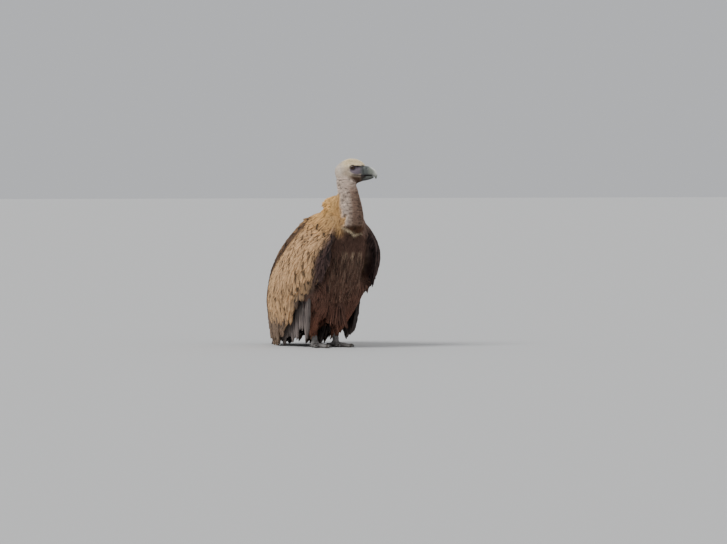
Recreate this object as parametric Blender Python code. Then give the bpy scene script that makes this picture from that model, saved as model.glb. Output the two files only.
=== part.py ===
"""Griffon vulture, a still life-size model that stands on its toes with drooped, folded wings.

Units are metres and +Z is up. The bird faces -Y, so its left is +X, and the origin is on the
floor under the middle of its bounding box. Shapes are written in centimetres as (left, forward,
height), with forward measured from a point midway between the feet.

Flesh and plumage are lofts between sections of named size. Neighbours that would overlap are cut
clear of each other, so that every part is a closed solid of its own.
"""

import math
from typing import NamedTuple

import bmesh
import bpy
from mathutils import Matrix, Vector

CM = 0.01
GAP = 0.0003
MERGE = 0.00001
UP = Vector((0, 0, 1))
FEET_FORWARD = 0.0718
HEAD_TURN = math.radians(42.0)
RIGHT, LEFT = -1, 1
SIDES = {"right": RIGHT, "left": LEFT}

EYE_RADIUS = 1.0
EYE_SPREAD = 2.35
BROW_CENTRE = (2.4, 14.2, 65.4)

TOE_ROOT_HEIGHT = 1.25
TARSUS_SPREAD = 4.6
ANKLE_FORWARD = -1.2


class Section(NamedTuple):
    """One ring of a loft: its centre, half-width, and reach towards the up side and down side."""

    at: tuple
    wide: float
    up: float
    down: float


class Rib(NamedTuple):
    """One upright slice through a folded wing, from its top edge round the outside to its hem."""

    forward: float
    top: tuple
    bulge: tuple
    hem: tuple
    thick: float


# The trunk runs from the root of the neck, down the keel, to the root of the tail.
TRUNK = [
    Section((0, 15.8, 48.0), 1.6, 1.2, 1.4),
    Section((0, 15.2, 46.6), 5.2, 4.6, 3.8),
    Section((0, 12.0, 43.0), 9.0, 9.4, 7.4),
    Section((0, 7.4, 38.2), 11.4, 12.0, 11.6),
    Section((0, 0.6, 32.4), 12.2, 12.6, 16.8),
    Section((0, -7.6, 27.4), 11.4, 12.0, 17.2),
    Section((0, -14.5, 23.8), 9.2, 9.4, 12.6),
    Section((0, -19.6, 21.0), 6.0, 5.8, 6.6),
    Section((0, -22.4, 19.4), 2.4, 2.4, 2.2),
]

NECK = [
    Section((0.0, 12.4, 41.0), 2.4, 2.4, 2.4),
    Section((0.0, 14.4, 43.4), 4.2, 4.0, 4.2),
    Section((0.0, 16.0, 46.6), 4.6, 4.5, 4.6),
    Section((0.1, 16.2, 50.4), 4.0, 4.0, 4.0),
    Section((0.2, 15.6, 54.0), 3.4, 3.7, 3.7),
    Section((0.3, 13.8, 57.4), 3.4, 3.9, 3.9),
    Section((0.3, 12.0, 60.6), 3.4, 4.0, 3.9),
    Section((0.3, 11.6, 62.8), 2.6, 2.8, 2.8),
]

# The ruff is a horseshoe of loose feathers round the back of the neck's root.
RUFF_HALF = [
    Section((0.0, 5.8, 51.2), 3.9, 5.2, 4.6),
    Section((4.4, 7.2, 50.0), 3.4, 4.6, 4.4),
    Section((6.4, 10.4, 47.6), 2.5, 3.7, 3.8),
    Section((6.5, 13.4, 45.2), 1.8, 2.6, 3.0),
    Section((5.6, 16.0, 43.6), 1.0, 1.4, 1.7),
    Section((4.8, 17.4, 42.6), 0.4, 0.5, 0.6),
]

# Head and bill are drawn in the head's own frame, (sideways, ahead, above), from between the eyes.
HEAD = [
    Section((0, -6.9, -3.3), 0.5, 0.7, 0.7),
    Section((0, -6.2, -3.0), 2.0, 2.7, 3.0),
    Section((0, -4.4, -2.2), 3.1, 3.9, 4.2),
    Section((0, -1.8, -1.5), 3.55, 4.4, 4.6),
    Section((0, 0.8, -1.5), 3.2, 4.2, 4.4),
    Section((0, 2.6, -1.9), 2.45, 3.55, 3.5),
    Section((0, 3.8, -2.1), 1.85, 2.75, 2.8),
    Section((0, 4.3, -2.1), 1.5, 2.3, 2.3),
]

BILL_UPPER = [
    Section((0, 3.0, -1.2), 1.45, 1.8, 1.75),
    Section((0, 4.2, -1.25), 1.42, 1.8, 1.75),
    Section((0, 5.6, -1.45), 1.15, 1.65, 1.5),
    Section((0, 6.8, -1.9), 0.85, 1.35, 1.15),
    Section((0, 7.55, -2.65), 0.6, 0.95, 0.75),
    Section((0, 7.85, -3.4), 0.36, 0.45, 0.45),
    Section((0, 7.85, -4.1), 0.1, 0.1, 0.1),
]

BILL_LOWER = [
    Section((0, 1.6, -4.0), 1.35, 0.8, 0.9),
    Section((0, 3.2, -3.95), 1.25, 0.86, 0.85),
    Section((0, 5.0, -3.8), 0.95, 0.74, 0.65),
    Section((0, 6.3, -3.62), 0.62, 0.52, 0.42),
    Section((0, 7.05, -3.5), 0.2, 0.2, 0.16),
]

# The thigh's loose feathers, its trousers, hang over the ankle almost to the toes.
THIGH = [
    Section((7.4, 6.6, 28.0), 2.8, 3.2, 3.2),
    Section((7.6, 6.4, 24.0), 5.2, 5.6, 6.4),
    Section((7.2, 3.6, 18.6), 5.0, 5.4, 6.2),
    Section((6.4, 0.8, 13.4), 4.2, 4.4, 4.8),
    Section((5.6, -1.0, 9.2), 3.2, 3.5, 3.6),
    Section((5.1, -1.6, 6.2), 2.3, 2.6, 2.5),
    Section((4.8, -1.7, 4.2), 0.8, 1.0, 0.9),
]

TARSUS = [
    Section((TARSUS_SPREAD, -2.8, 11.0), 0.9, 1.0, 1.0),
    Section((TARSUS_SPREAD, -2.3, 8.0), 0.85, 0.95, 0.95),
    Section((TARSUS_SPREAD, -1.7, 4.6), 0.85, 0.95, 0.95),
    Section((TARSUS_SPREAD, ANKLE_FORWARD - 0.1, 2.6), 1.0, 1.1, 1.1),
    Section((TARSUS_SPREAD, ANKLE_FORWARD, 1.9), 0.8, 0.9, 0.9),
]

KNUCKLE = [
    Section((TARSUS_SPREAD, ANKLE_FORWARD, 2.5), 0.7, 0.7, 0.7),
    Section((TARSUS_SPREAD, ANKLE_FORWARD, 2.0), 1.35, 1.45, 1.4),
    Section((TARSUS_SPREAD, ANKLE_FORWARD, 1.2), 1.5, 1.6, 1.5),
    Section((TARSUS_SPREAD, ANKLE_FORWARD, 0.3), 1.2, 1.3, 1.2),
]

# Each toe: name, angle outward from straight ahead in degrees, and length of its pads and claw.
TOES = [
    ("inner", -24.0, 5.6, 2.3),
    ("middle", 4.0, 8.8, 2.4),
    ("outer", 30.0, 6.2, 2.0),
    ("hind", 194.0, 3.5, 2.2),
]

# The folded wing's cloak, front to rear, for the left wing.
COVERTS = [
    Rib(17.6, (9.0, 39.4), (10.6, 37.0), (9.8, 34.0), 1.2),
    Rib(16.6, (7.2, 43.4), (12.0, 38.0), (10.0, 29.0), 3.0),
    Rib(14.6, (6.6, 46.0), (14.0, 38.0), (10.8, 25.0), 4.6),
    Rib(11.0, (6.6, 49.0), (15.4, 37.5), (11.8, 21.8), 5.0),
    Rib(6.0, (6.8, 50.4), (16.4, 36.5), (12.4, 19.2), 5.0),
    Rib(0.0, (7.0, 48.2), (16.8, 34.0), (12.6, 15.4), 4.6),
    Rib(-7.0, (6.8, 44.0), (16.2, 30.5), (12.4, 10.0), 3.8),
    Rib(-14.0, (6.4, 39.6), (14.6, 27.0), (11.4, 5.8), 3.0),
    Rib(-20.0, (6.0, 35.2), (12.4, 24.5), (9.6, 4.8), 2.4),
    Rib(-25.0, (5.2, 30.4), (9.8, 22.0), (7.6, 7.6), 1.8),
    Rib(-28.6, (4.4, 25.4), (7.0, 20.0), (5.8, 13.0), 1.2),
    Rib(-30.0, (4.2, 22.0), (5.4, 19.4), (5.0, 17.0), 0.7),
]

SECONDARIES = [
    Rib(1.4, (11.2, 18.4), (11.8, 15.0), (10.8, 11.6), 0.8),
    Rib(0.0, (11.2, 19.6), (12.0, 12.6), (10.0, 6.0), 1.2),
    Rib(-4.2, (10.8, 21.0), (12.0, 11.0), (9.2, 3.8), 1.4),
    Rib(-9.6, (9.8, 21.4), (11.4, 10.0), (8.8, 2.8), 1.4),
    Rib(-15.5, (8.2, 20.0), (10.2, 9.6), (7.8, 2.2), 1.4),
    Rib(-21.5, (6.6, 17.0), (8.2, 9.0), (6.4, 2.4), 1.1),
    Rib(-25.5, (6.0, 13.0), (6.8, 9.0), (6.0, 4.4), 0.7),
]

# Stacked primaries, from the wrist's shadow to the wing's point over the tail.
PRIMARIES = [
    Section((7.8, -17.0, 23.0), 0.7, 2.0, 2.0),
    Section((6.9, -22.0, 18.0), 1.0, 4.4, 4.2),
    Section((5.2, -27.2, 12.8), 0.95, 4.6, 4.4),
    Section((3.6, -31.0, 7.8), 0.75, 3.4, 3.2),
    Section((2.2, -33.6, 4.0), 0.4, 1.3, 1.2),
    Section((1.8, -34.3, 2.8), 0.2, 0.4, 0.4),
]

TAIL = [
    Section((0, -16.0, 23.0), 3.0, 1.0, 1.0),
    Section((0, -19.6, 18.6), 4.4, 1.1, 1.1),
    Section((0, -23.0, 12.6), 5.4, 0.9, 0.9),
    Section((0, -25.8, 6.6), 6.0, 0.7, 0.7),
    Section((0, -27.2, 3.4), 5.0, 0.45, 0.45),
    Section((0, -27.7, 2.3), 2.6, 0.25, 0.25),
]

# The back's loose feathers, from under the ruff down between the wings.
BACK = [
    Section((0, 3.6, 48.4), 3.0, 1.6, 1.6),
    Section((0, 0.4, 47.2), 5.6, 3.0, 3.0),
    Section((0, -5.0, 44.8), 7.2, 3.4, 3.6),
    Section((0, -12.0, 40.4), 7.4, 3.5, 3.8),
    Section((0, -19.6, 35.4), 6.8, 3.5, 3.6),
    Section((0, -26.6, 29.6), 6.0, 3.3, 3.4),
    Section((0, -31.4, 23.4), 5.2, 2.7, 3.0),
    Section((0, -33.2, 17.6), 4.0, 1.9, 2.2),
    Section((0, -33.2, 14.0), 1.6, 0.8, 0.9),
]

PLUMAGE_COLOURS = {
    "down": (0.62, 0.55, 0.46),
    "ruff": (0.50, 0.33, 0.17),
    "body": (0.16, 0.085, 0.05),
    "coverts": (0.40, 0.27, 0.15),
    "quills": (0.035, 0.028, 0.025),
}
BILL_COLOUR = (0.16, 0.17, 0.15)
LEG_COLOUR = (0.19, 0.19, 0.20)
CLAW_COLOUR = (0.03, 0.028, 0.026)
EYE_COLOUR = (0.12, 0.05, 0.02)


def place(left, forward, height):
    """A point given in centimetres from between the feet, as metres in the bird's frame."""
    return Vector((left * CM, -forward * CM - FEET_FORWARD, height * CM))


def head_frame():
    """The matrix from the head's own (sideways, ahead, above) centimetres to the bird's frame."""
    turned = Matrix.Rotation(HEAD_TURN, 4, "Z")
    axes = Matrix(((1, 0, 0, 0), (0, -1, 0, 0), (0, 0, 1, 0), (0, 0, 0, 1)))
    return Matrix.Translation(place(*BROW_CENTRE)) @ turned @ axes @ Matrix.Scale(CM, 4)


def spline(values, share):
    """Catmull-Rom through equally spaced values, at share 0 to 1 of the way along."""
    spans = len(values) - 1
    span = min(int(share * spans), spans - 1)
    t = share * spans - span
    before = values[max(span - 1, 0)]
    start, end = values[span], values[span + 1]
    after = values[min(span + 2, spans)]
    return 0.5 * (
        2 * start
        + (end - before) * t
        + (2 * before - 5 * start + 4 * end - after) * t**2
        + (3 * start - before - 3 * end + after) * t**3
    )


def spline_row(rows, share):
    """Each column of a table of numbers, splined at the same share."""
    return [spline(column, share) for column in zip(*rows)]


def link_part(name, data):
    """A named object in the bird's collection."""
    made = bpy.data.objects.new(name, data)
    bpy.data.collections["griffon_vulture"].objects.link(made)
    return made


def skin_rings(name, rings):
    """A closed mesh over rings of equally many points, each end closed by a fan."""
    mesh = bmesh.new()
    loops = [[mesh.verts.new(point) for point in ring] for ring in rings]
    count = len(loops[0])
    for near, far in zip(loops, loops[1:]):
        for i in range(count):
            j = (i + 1) % count
            mesh.faces.new((near[i], near[j], far[j], far[i]))
    for loop in (loops[0], loops[-1]):
        middle = mesh.verts.new(sum((v.co for v in loop), Vector()) / count)
        for i in range(count):
            mesh.faces.new((loop[i], loop[(i + 1) % count], middle))
    bmesh.ops.recalc_face_normals(mesh, faces=mesh.faces)
    bmesh.ops.triangulate(mesh, faces=mesh.faces)
    data = bpy.data.meshes.new(name)
    mesh.to_mesh(data)
    mesh.free()
    data.shade_smooth()
    return link_part(name, data)


def loft(name, sections, up, rows, ring, to_frame=None, fullness=2.0):
    """A solid through sections that stand across the line of their centres.

    up is the direction of each section's up side, and fullness above 2 squares the sections.
    """
    table = [(*s.at, s.wide, s.up, s.down) for s in sections]
    samples = [spline_row(table, i / (rows - 1)) for i in range(rows)]
    centres = [Vector(sample[:3]) for sample in samples]
    rings = []
    for i, (centre, sample) in enumerate(zip(centres, samples)):
        along = (centres[min(i + 1, rows - 1)] - centres[max(i - 1, 0)]).normalized()
        over = (up - along * up.dot(along)).normalized()
        side = along.cross(over)
        wide, above, below = sample[3:]
        points = []
        for k in range(ring):
            angle = math.tau * k / ring
            across, rise = math.cos(angle), math.sin(angle)
            reach = (abs(across) ** fullness + abs(rise) ** fullness) ** (-1 / fullness)
            high = rise * reach * (above if rise > 0 else below)
            points.append(centre + side * across * reach * wide + over * high)
        rings.append([to_frame(point) for point in points])
    return skin_rings(name, rings)


def body_loft(name, sections, up, rows, ring, side=RIGHT, fullness=2.0):
    """A loft in the bird's own frame; side mirrors sections that are drawn for the left."""
    turned = [s._replace(at=(s.at[0] * side, *s.at[1:])) for s in sections]
    lean = Vector((up[0] * side, *up[1:]))
    return loft(name, turned, lean, rows, ring, lambda p: place(*p), fullness)


def head_loft(name, sections, rows, ring, fullness=2.0):
    """A loft in the turned head's frame."""
    frame = head_frame()
    return loft(name, sections, Vector((0, 0, 1)), rows, ring, lambda p: frame @ p, fullness)


def arc_through(top, bulge, hem, share):
    """A point on the smooth outward curve of a rib, from its top to its hem."""
    spread = math.sin(math.pi * share) ** 0.8
    straight = [a + (b - a) * share for a, b in zip(top, hem)]
    middle = [(a + b) / 2 for a, b in zip(top, hem)]
    return straight[0] + (bulge[0] - middle[0]) * spread, straight[1]


def wing_sheet(name, ribs, rows, across, side):
    """A curved slab through ribs, thick in its middle and thin towards its top edge and hem."""
    table = [(r.forward, *r.top, *r.bulge, *r.hem, r.thick) for r in ribs]
    rings = []
    for i in range(rows):
        forward, *rest = spline_row(table, i / (rows - 1))
        top, bulge, hem, thick = rest[0:2], rest[2:4], rest[4:6], rest[6]
        outer = [arc_through(top, bulge, hem, k / across) for k in range(across + 1)]
        inner = []
        for k in range(1, across):
            share = k / across
            left, height = arc_through(top, bulge, hem, share)
            depth = thick * (0.35 + 0.65 * math.sin(math.pi * share))
            inner.append((max(left - depth, 0.25), height))
        points = [(left, forward, height) for left, height in outer + inner[::-1]]
        rings.append([place(p[0] * side, p[1], p[2]) for p in points])
    return skin_rings(name, rings)


def make_ruff():
    """The horseshoe ruff: half of its sections, and the same ones mirrored."""
    mirrored = [s._replace(at=(-s.at[0], *s.at[1:])) for s in RUFF_HALF[:0:-1]]
    sections = mirrored + RUFF_HALF
    return loft("ruff", sections, Vector((0, -0.25, 1)), 19, 11, lambda p: place(*p))


def apply_modifiers(obj):
    """The object's mesh becomes what its modifiers make of it."""
    graph = bpy.context.evaluated_depsgraph_get()
    made = bpy.data.meshes.new_from_object(obj.evaluated_get(graph))
    obj.modifiers.clear()
    obj.data = made


def largest_shell(obj):
    """Drops loose scraps that a cut has left, and keeps the main body."""
    mesh = bmesh.new()
    mesh.from_mesh(obj.data)
    unseen = set(mesh.verts)
    shells = []
    while unseen:
        shell, edge = set(), [unseen.pop()]
        while edge:
            vert = edge.pop()
            shell.add(vert)
            near = {e.other_vert(vert) for e in vert.link_edges} & unseen
            unseen -= near
            edge.extend(near)
        shells.append(shell)
    shells.sort(key=len)
    scraps = [vert for shell in shells[:-1] for vert in shell]
    bmesh.ops.delete(mesh, geom=scraps, context="VERTS")
    mesh.to_mesh(obj.data)
    mesh.free()


def grown(obj, margin=GAP * 1.6):
    """A copy of the object, swollen along its normals, for use as a cutter."""
    copy = bpy.data.objects.new("cutter_" + obj.name, obj.data.copy())
    bpy.data.collections["cutters"].objects.link(copy)
    copy.hide_render = True
    copy.display_type = "WIRE"
    for vertex in copy.data.vertices:
        vertex.co += vertex.normal * margin
    return copy


def combine(obj, other, operation):
    """Joins the other solid to the object, or cuts it out, and tidies the seam."""
    joint = obj.modifiers.new("joint", "BOOLEAN")
    joint.operation = operation
    joint.object = other
    joint.solver = "EXACT"
    bpy.context.view_layer.update()
    apply_modifiers(obj)
    mesh = bmesh.new()
    mesh.from_mesh(obj.data)
    bmesh.ops.remove_doubles(mesh, verts=mesh.verts, dist=MERGE)
    bmesh.ops.dissolve_degenerate(mesh, edges=mesh.edges, dist=MERGE)
    bmesh.ops.dissolve_limit(
        mesh, angle_limit=math.radians(0.6), verts=mesh.verts, edges=mesh.edges
    )
    bmesh.ops.triangulate(mesh, faces=mesh.faces)
    mesh.to_mesh(obj.data)
    mesh.free()


def cut_clear(obj, cutters):
    """Cuts the swollen copies of its neighbours out of the object."""
    for cutter in cutters:
        combine(obj, cutter, "DIFFERENCE")
        largest_shell(obj)


def level_underside(obj):
    """Planes off what would reach below the floor, which leaves a small level sole."""
    mesh = bmesh.new()
    bmesh.ops.create_cube(mesh, size=1.0)
    data = bpy.data.meshes.new("floor")
    mesh.to_mesh(data)
    mesh.free()
    data.transform(Matrix.Translation((0, 0, -0.5)))
    floor = bpy.data.objects.new("floor", data)
    bpy.data.collections["cutters"].objects.link(floor)
    combine(obj, floor, "DIFFERENCE")
    bpy.data.objects.remove(floor)


def make_eye(name, side):
    """An eyeball in the turned head."""
    mesh = bmesh.new()
    bmesh.ops.create_uvsphere(mesh, u_segments=10, v_segments=6, radius=EYE_RADIUS)
    bmesh.ops.triangulate(mesh, faces=mesh.faces)
    data = bpy.data.meshes.new(name)
    mesh.to_mesh(data)
    mesh.free()
    data.transform(Matrix.Rotation(math.pi / 2, 4, "Y"))
    data.transform(head_frame() @ Matrix.Translation((side * EYE_SPREAD, 0, 0)))
    data.flip_normals()
    data.shade_smooth()
    return link_part(name, data)


def toe_sections(side, outward, length):
    """The sections of a toe: a row of pads that swell and narrow, level on the floor."""
    heading = math.radians(outward) * side
    ahead = Vector((math.sin(heading), math.cos(heading), 0))
    root = Vector((side * TARSUS_SPREAD, ANKLE_FORWARD, TOE_ROOT_HEIGHT))
    pads = max(1, round(length / 2.9))
    sections = []
    for i in range(pads * 3 + 1):
        share = i / (pads * 3)
        plain = 0.98 - 0.34 * share
        half = plain * (1 + 0.12 * math.cos(math.tau * pads * share))
        at = root + ahead * (0.9 + (length - 0.9) * share)
        at.z = plain * 0.84 + (TOE_ROOT_HEIGHT - plain * 0.84) * 0.4 * (1 - share) ** 2
        sections.append(Section(tuple(at), half, half * 0.9, at.z + 0.12))
    return sections, ahead


def claw_sections(start, ahead, length):
    """The sections of a blunt claw that curves down from the end of a toe."""
    sections = []
    for i in range(6):
        share = i / 5
        bend = share * 1.15
        at = start + ahead * math.sin(bend) * length * 0.86
        at.z = start.z + 0.34 * math.sin(math.pi * share) - (start.z - 0.1) * share**1.6
        half = 0.48 * (1 - share) ** 0.55 + 0.1
        sections.append(Section(tuple(at), half * 0.85, half, half))
    return sections


def make_foot(side_name, side):
    """A foot of four joined toes, and its four claws, as {name: object}."""
    foot = body_loft(f"foot_{side_name}", KNUCKLE, (0, 1, 0), 5, 8, side)
    made = {foot.name: foot}
    for name, outward, length, claw in TOES:
        sections, ahead = toe_sections(side, outward, length)
        toe = loft(f"toe_{name}", sections, UP, 8, 7, lambda p: place(*p))
        combine(foot, toe, "UNION")
        bpy.data.objects.remove(toe)
        start = Vector(sections[-1].at) - ahead * 0.35
        rings = claw_sections(start, ahead, claw)
        horn = loft(f"claw_{name}_{side_name}", rings, UP, 6, 6, lambda p: place(*p))
        level_underside(horn)
        made[horn.name] = horn
    level_underside(foot)
    return made


def material(name, colour, roughness):
    """A plain material of one colour."""
    made = bpy.data.materials.new(name)
    made.use_nodes = True
    surface = made.node_tree.nodes["Principled BSDF"]
    surface.inputs["Base Color"].default_value = (*colour, 1)
    surface.inputs["Roughness"].default_value = roughness
    surface.inputs["Metallic"].default_value = 0.0
    return made


def make_shapes():
    """Every part in its full shape, before neighbours are cut clear, as {name: object}."""
    back = (0, -0.6, 0.8)
    shapes = [
        body_loft("trunk", TRUNK, back, 14, 16, fullness=2.15),
        body_loft("back", BACK, back, 12, 14, fullness=2.5),
        body_loft("neck", NECK, (0, -1, 0.2), 12, 12),
        make_ruff(),
        head_loft("head", HEAD, 12, 14),
        head_loft("bill_upper", BILL_UPPER, 12, 10, 2.3),
        head_loft("bill_lower", BILL_LOWER, 7, 8, 2.3),
        body_loft("tail", TAIL, back, 9, 12, fullness=3.0),
    ]
    for name, side in SIDES.items():
        shapes += [
            make_eye(f"eye_{name}", side),
            wing_sheet(f"wing_coverts_{name}", COVERTS, 18, 7, side),
            wing_sheet(f"wing_secondaries_{name}", SECONDARIES, 10, 5, side),
            body_loft(f"wing_primaries_{name}", PRIMARIES, UP, 9, 8, side),
            body_loft(f"thigh_{name}", THIGH, (0, 1, 0.3), 9, 11, side),
            body_loft(f"tarsus_{name}", TARSUS, (0, 1, 0), 7, 8, side),
        ]
        shapes += make_foot(name, side).values()
    return {shape.name: shape for shape in shapes}


def neighbours_of(name):
    """The parts that keep their full shape where the named part would run into them."""
    covers = ["wing_coverts_right", "wing_coverts_left"]
    quills = [f"wing_{kind}_{side}" for kind in ("secondaries", "primaries") for side in SIDES]
    plain = {
        "bill_lower": ["bill_upper"],
        "head": ["bill_upper", "bill_lower", "eye_right", "eye_left"],
        "neck": ["head", "bill_lower"],
        "tail": covers + quills,
        "back": covers + quills + ["tail"],
        "ruff": ["neck", "back"] + covers,
        "trunk": ["neck", "ruff", "back", "tail"] + covers + quills,
    }
    if name in plain:
        return plain[name]
    kind, _, side = name.rpartition("_")
    if kind.startswith("claw"):
        return [f"foot_{side}"]
    sided = {
        "wing_secondaries": [f"wing_coverts_{side}"],
        "wing_primaries": [f"wing_coverts_{side}", f"wing_secondaries_{side}"],
        "thigh": ["trunk", f"tarsus_{side}", f"wing_coverts_{side}", f"wing_secondaries_{side}"],
        "foot": [f"tarsus_{side}"],
    }
    return sided.get(kind, [])


FINISH_OF = {
    "trunk": "body",
    "thigh": "body",
    "back": "coverts",
    "wing_coverts": "coverts",
    "wing_secondaries": "quills",
    "wing_primaries": "quills",
    "tail": "quills",
    "neck": "down",
    "head": "down",
    "ruff": "ruff",
    "bill": "bill",
    "tarsus": "leg",
    "foot": "leg",
    "claw": "claw",
    "eye": "eye",
}


def main():
    """Clears the scene, builds the bird and gives each part its material."""
    for old in list(bpy.data.objects):
        bpy.data.objects.remove(old)
    for name in ("griffon_vulture", "cutters"):
        bpy.context.scene.collection.children.link(bpy.data.collections.new(name))
    finishes = {name: material(name, rgb, 0.9) for name, rgb in PLUMAGE_COLOURS.items()}
    finishes["bill"] = material("bill", BILL_COLOUR, 0.45)
    finishes["leg"] = material("leg", LEG_COLOUR, 0.7)
    finishes["claw"] = material("claw", CLAW_COLOUR, 0.4)
    finishes["eye"] = material("eye", EYE_COLOUR, 0.1)
    shapes = make_shapes()
    cutters = {name: grown(shape) for name, shape in shapes.items()}
    for name, shape in shapes.items():
        cut_clear(shape, [cutters[near] for near in neighbours_of(name)])
        kind = max((key for key in FINISH_OF if name.startswith(key)), key=len)
        shape.data.materials.clear()
        shape.data.materials.append(finishes[FINISH_OF[kind]])
    for cutter in cutters.values():
        bpy.data.objects.remove(cutter)


main()
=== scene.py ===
"""Looks of a life-size griffon vulture: skin, bill, eyes, claws and every visible feather.

The bird faces -Y with its left at +X. Shapes are written in centimetres as (left, forward,
height), with forward measured from a point midway between the feet.
"""

import logging
import math
from dataclasses import dataclass, field
from enum import Enum

import bmesh
import bpy
import numpy as np
from mathutils import Matrix, Vector
from mathutils.bvhtree import BVHTree

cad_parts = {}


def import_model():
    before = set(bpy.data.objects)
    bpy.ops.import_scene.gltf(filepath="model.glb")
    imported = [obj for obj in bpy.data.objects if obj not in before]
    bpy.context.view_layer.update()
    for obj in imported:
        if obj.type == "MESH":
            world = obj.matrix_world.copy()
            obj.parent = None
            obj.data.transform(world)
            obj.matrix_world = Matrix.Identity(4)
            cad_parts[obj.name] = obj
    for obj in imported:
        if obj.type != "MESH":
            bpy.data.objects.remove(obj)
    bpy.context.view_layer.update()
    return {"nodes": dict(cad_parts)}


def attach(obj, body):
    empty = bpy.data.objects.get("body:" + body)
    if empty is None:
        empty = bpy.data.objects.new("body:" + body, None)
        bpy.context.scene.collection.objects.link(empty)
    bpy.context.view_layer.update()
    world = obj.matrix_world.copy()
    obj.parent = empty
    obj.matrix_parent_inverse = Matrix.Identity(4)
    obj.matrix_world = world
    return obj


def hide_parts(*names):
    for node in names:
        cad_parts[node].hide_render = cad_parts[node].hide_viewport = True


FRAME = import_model()

LOG = logging.getLogger("griffon_vulture")
MM = 0.001
CM = 0.01
FEET_FORWARD = 0.0718
HEAD_TURN = math.radians(42.0)
BROW_CENTRE = (2.4, 14.2, 65.4)
EYE_SPREAD = 2.35
EYE_RADIUS = 1.0
SIDES = {"right": -1, "left": 1}
FLOOR_GAP = 1.5 * MM  # lowest that a feather's tip may hang


def linear(code: str) -> tuple[float, float, float]:
    """Turns an sRGB hex colour into linear light.

    Args:
        code: six hex digits, such as "D9A763".

    Returns:
        Red, green and blue in linear light.
    """
    levels = [int(code[i : i + 2], 16) / 255 for i in (0, 2, 4)]
    return tuple(v / 12.92 if v <= 0.04045 else ((v + 0.055) / 1.055) ** 2.4 for v in levels)


def place(left: float, forward: float, height: float) -> Vector:
    """Turns centimetres from between the feet into metres in the bird's frame.

    Args:
        left: towards the bird's left.
        forward: towards where the body faces.
        height: above the floor.

    Returns:
        The point in metres.
    """
    return Vector((left * CM, -forward * CM - FEET_FORWARD, height * CM))


def head_matrix() -> Matrix:
    """Sets the head's own axes, turned about the neck.

    Returns:
        The matrix from (sideways, ahead, above) centimetres to the frame.
    """
    turned = Matrix.Rotation(HEAD_TURN, 4, "Z")
    axes = Matrix(((1, 0, 0, 0), (0, -1, 0, 0), (0, 0, 1, 0), (0, 0, 0, 1)))
    return Matrix.Translation(place(*BROW_CENTRE)) @ turned @ axes @ Matrix.Scale(CM, 4)


HEAD = head_matrix()
HEAD_INVERSE = np.array(HEAD.inverted())


def ease(low: float, high: float, value: np.ndarray) -> np.ndarray:
    """Smooth step from 0 at low to 1 at high.

    Args:
        low: where the step starts.
        high: where it ends.
        value: the numbers to step.

    Returns:
        The stepped numbers.
    """
    t = np.clip((value - low) / (high - low), 0.0, 1.0)
    return t * t * (3 - 2 * t)


def spline_row(table: list[tuple[float, ...]], share: float) -> list[float]:
    """Catmull-Rom through every column of a table.

    Args:
        table: rows of equally many numbers.
        share: 0 to 1 of the way from the first row to the last.

    Returns:
        One row of numbers.
    """
    spans = len(table) - 1
    span = min(int(share * spans), spans - 1)
    t = share * spans - span
    rows = [table[max(span - 1, 0)], table[span], table[span + 1], table[min(span + 2, spans)]]
    return [
        0.5
        * (
            2 * b
            + (c - a) * t
            + (2 * a - 5 * b + 4 * c - d) * t**2
            + (3 * b - a - 3 * c + d) * t**3
        )
        for a, b, c, d in zip(*rows)
    ]


@dataclass(frozen=True)
class Ring:
    """One section of a loft: its centre, half-width, and reach to its up and down sides."""

    at: tuple[float, float, float]
    wide: float
    up: float
    down: float


def loft_arrays(
    rings: list[Ring],
    up: Vector,
    rows: int,
    around: int,
    to_frame: Matrix,
    fullness: float = 2.0,
) -> tuple[np.ndarray, list[tuple[int, ...]]]:
    """Lofts a closed skin through sections that stand across the line of their centres.

    Args:
        rings: the sections in order.
        up: direction of each section's up side.
        rows: how many rings of points are made.
        around: points in each ring.
        to_frame: matrix from the sections' centimetres to metres.
        fullness: above 2 squares the sections.

    Returns:
        The points and the faces.
    """
    table = [(*r.at, r.wide, r.up, r.down) for r in rings]
    samples = [spline_row(table, i / (rows - 1)) for i in range(rows)]
    centres = [Vector(s[:3]) for s in samples]
    points: list[Vector] = []
    for i, (centre, sample) in enumerate(zip(centres, samples)):
        along = (centres[min(i + 1, rows - 1)] - centres[max(i - 1, 0)]).normalized()
        over = (up - along * up.dot(along)).normalized()
        side = along.cross(over)
        for k in range(around):
            angle = math.tau * k / around
            across, rise = math.cos(angle), math.sin(angle)
            reach = (abs(across) ** fullness + abs(rise) ** fullness) ** (-1 / fullness)
            high = rise * reach * (sample[4] if rise > 0 else sample[5])
            points.append(to_frame @ (centre + side * across * reach * sample[3] + over * high))
    faces: list[tuple[int, ...]] = []
    for i in range(rows - 1):
        for k in range(around):
            n = (k + 1) % around
            a, b = i * around, (i + 1) * around
            faces.append((a + k, a + n, b + n, b + k))
    faces.append(tuple(range(around)))
    faces.append(tuple((rows - 1) * around + k for k in range(around)))
    return np.array([tuple(p) for p in points]), faces


TO_BODY = Matrix.Translation((0, -FEET_FORWARD, 0)) @ Matrix(
    ((CM, 0, 0, 0), (0, -CM, 0, 0), (0, 0, CM, 0), (0, 0, 0, 1))
)


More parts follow.
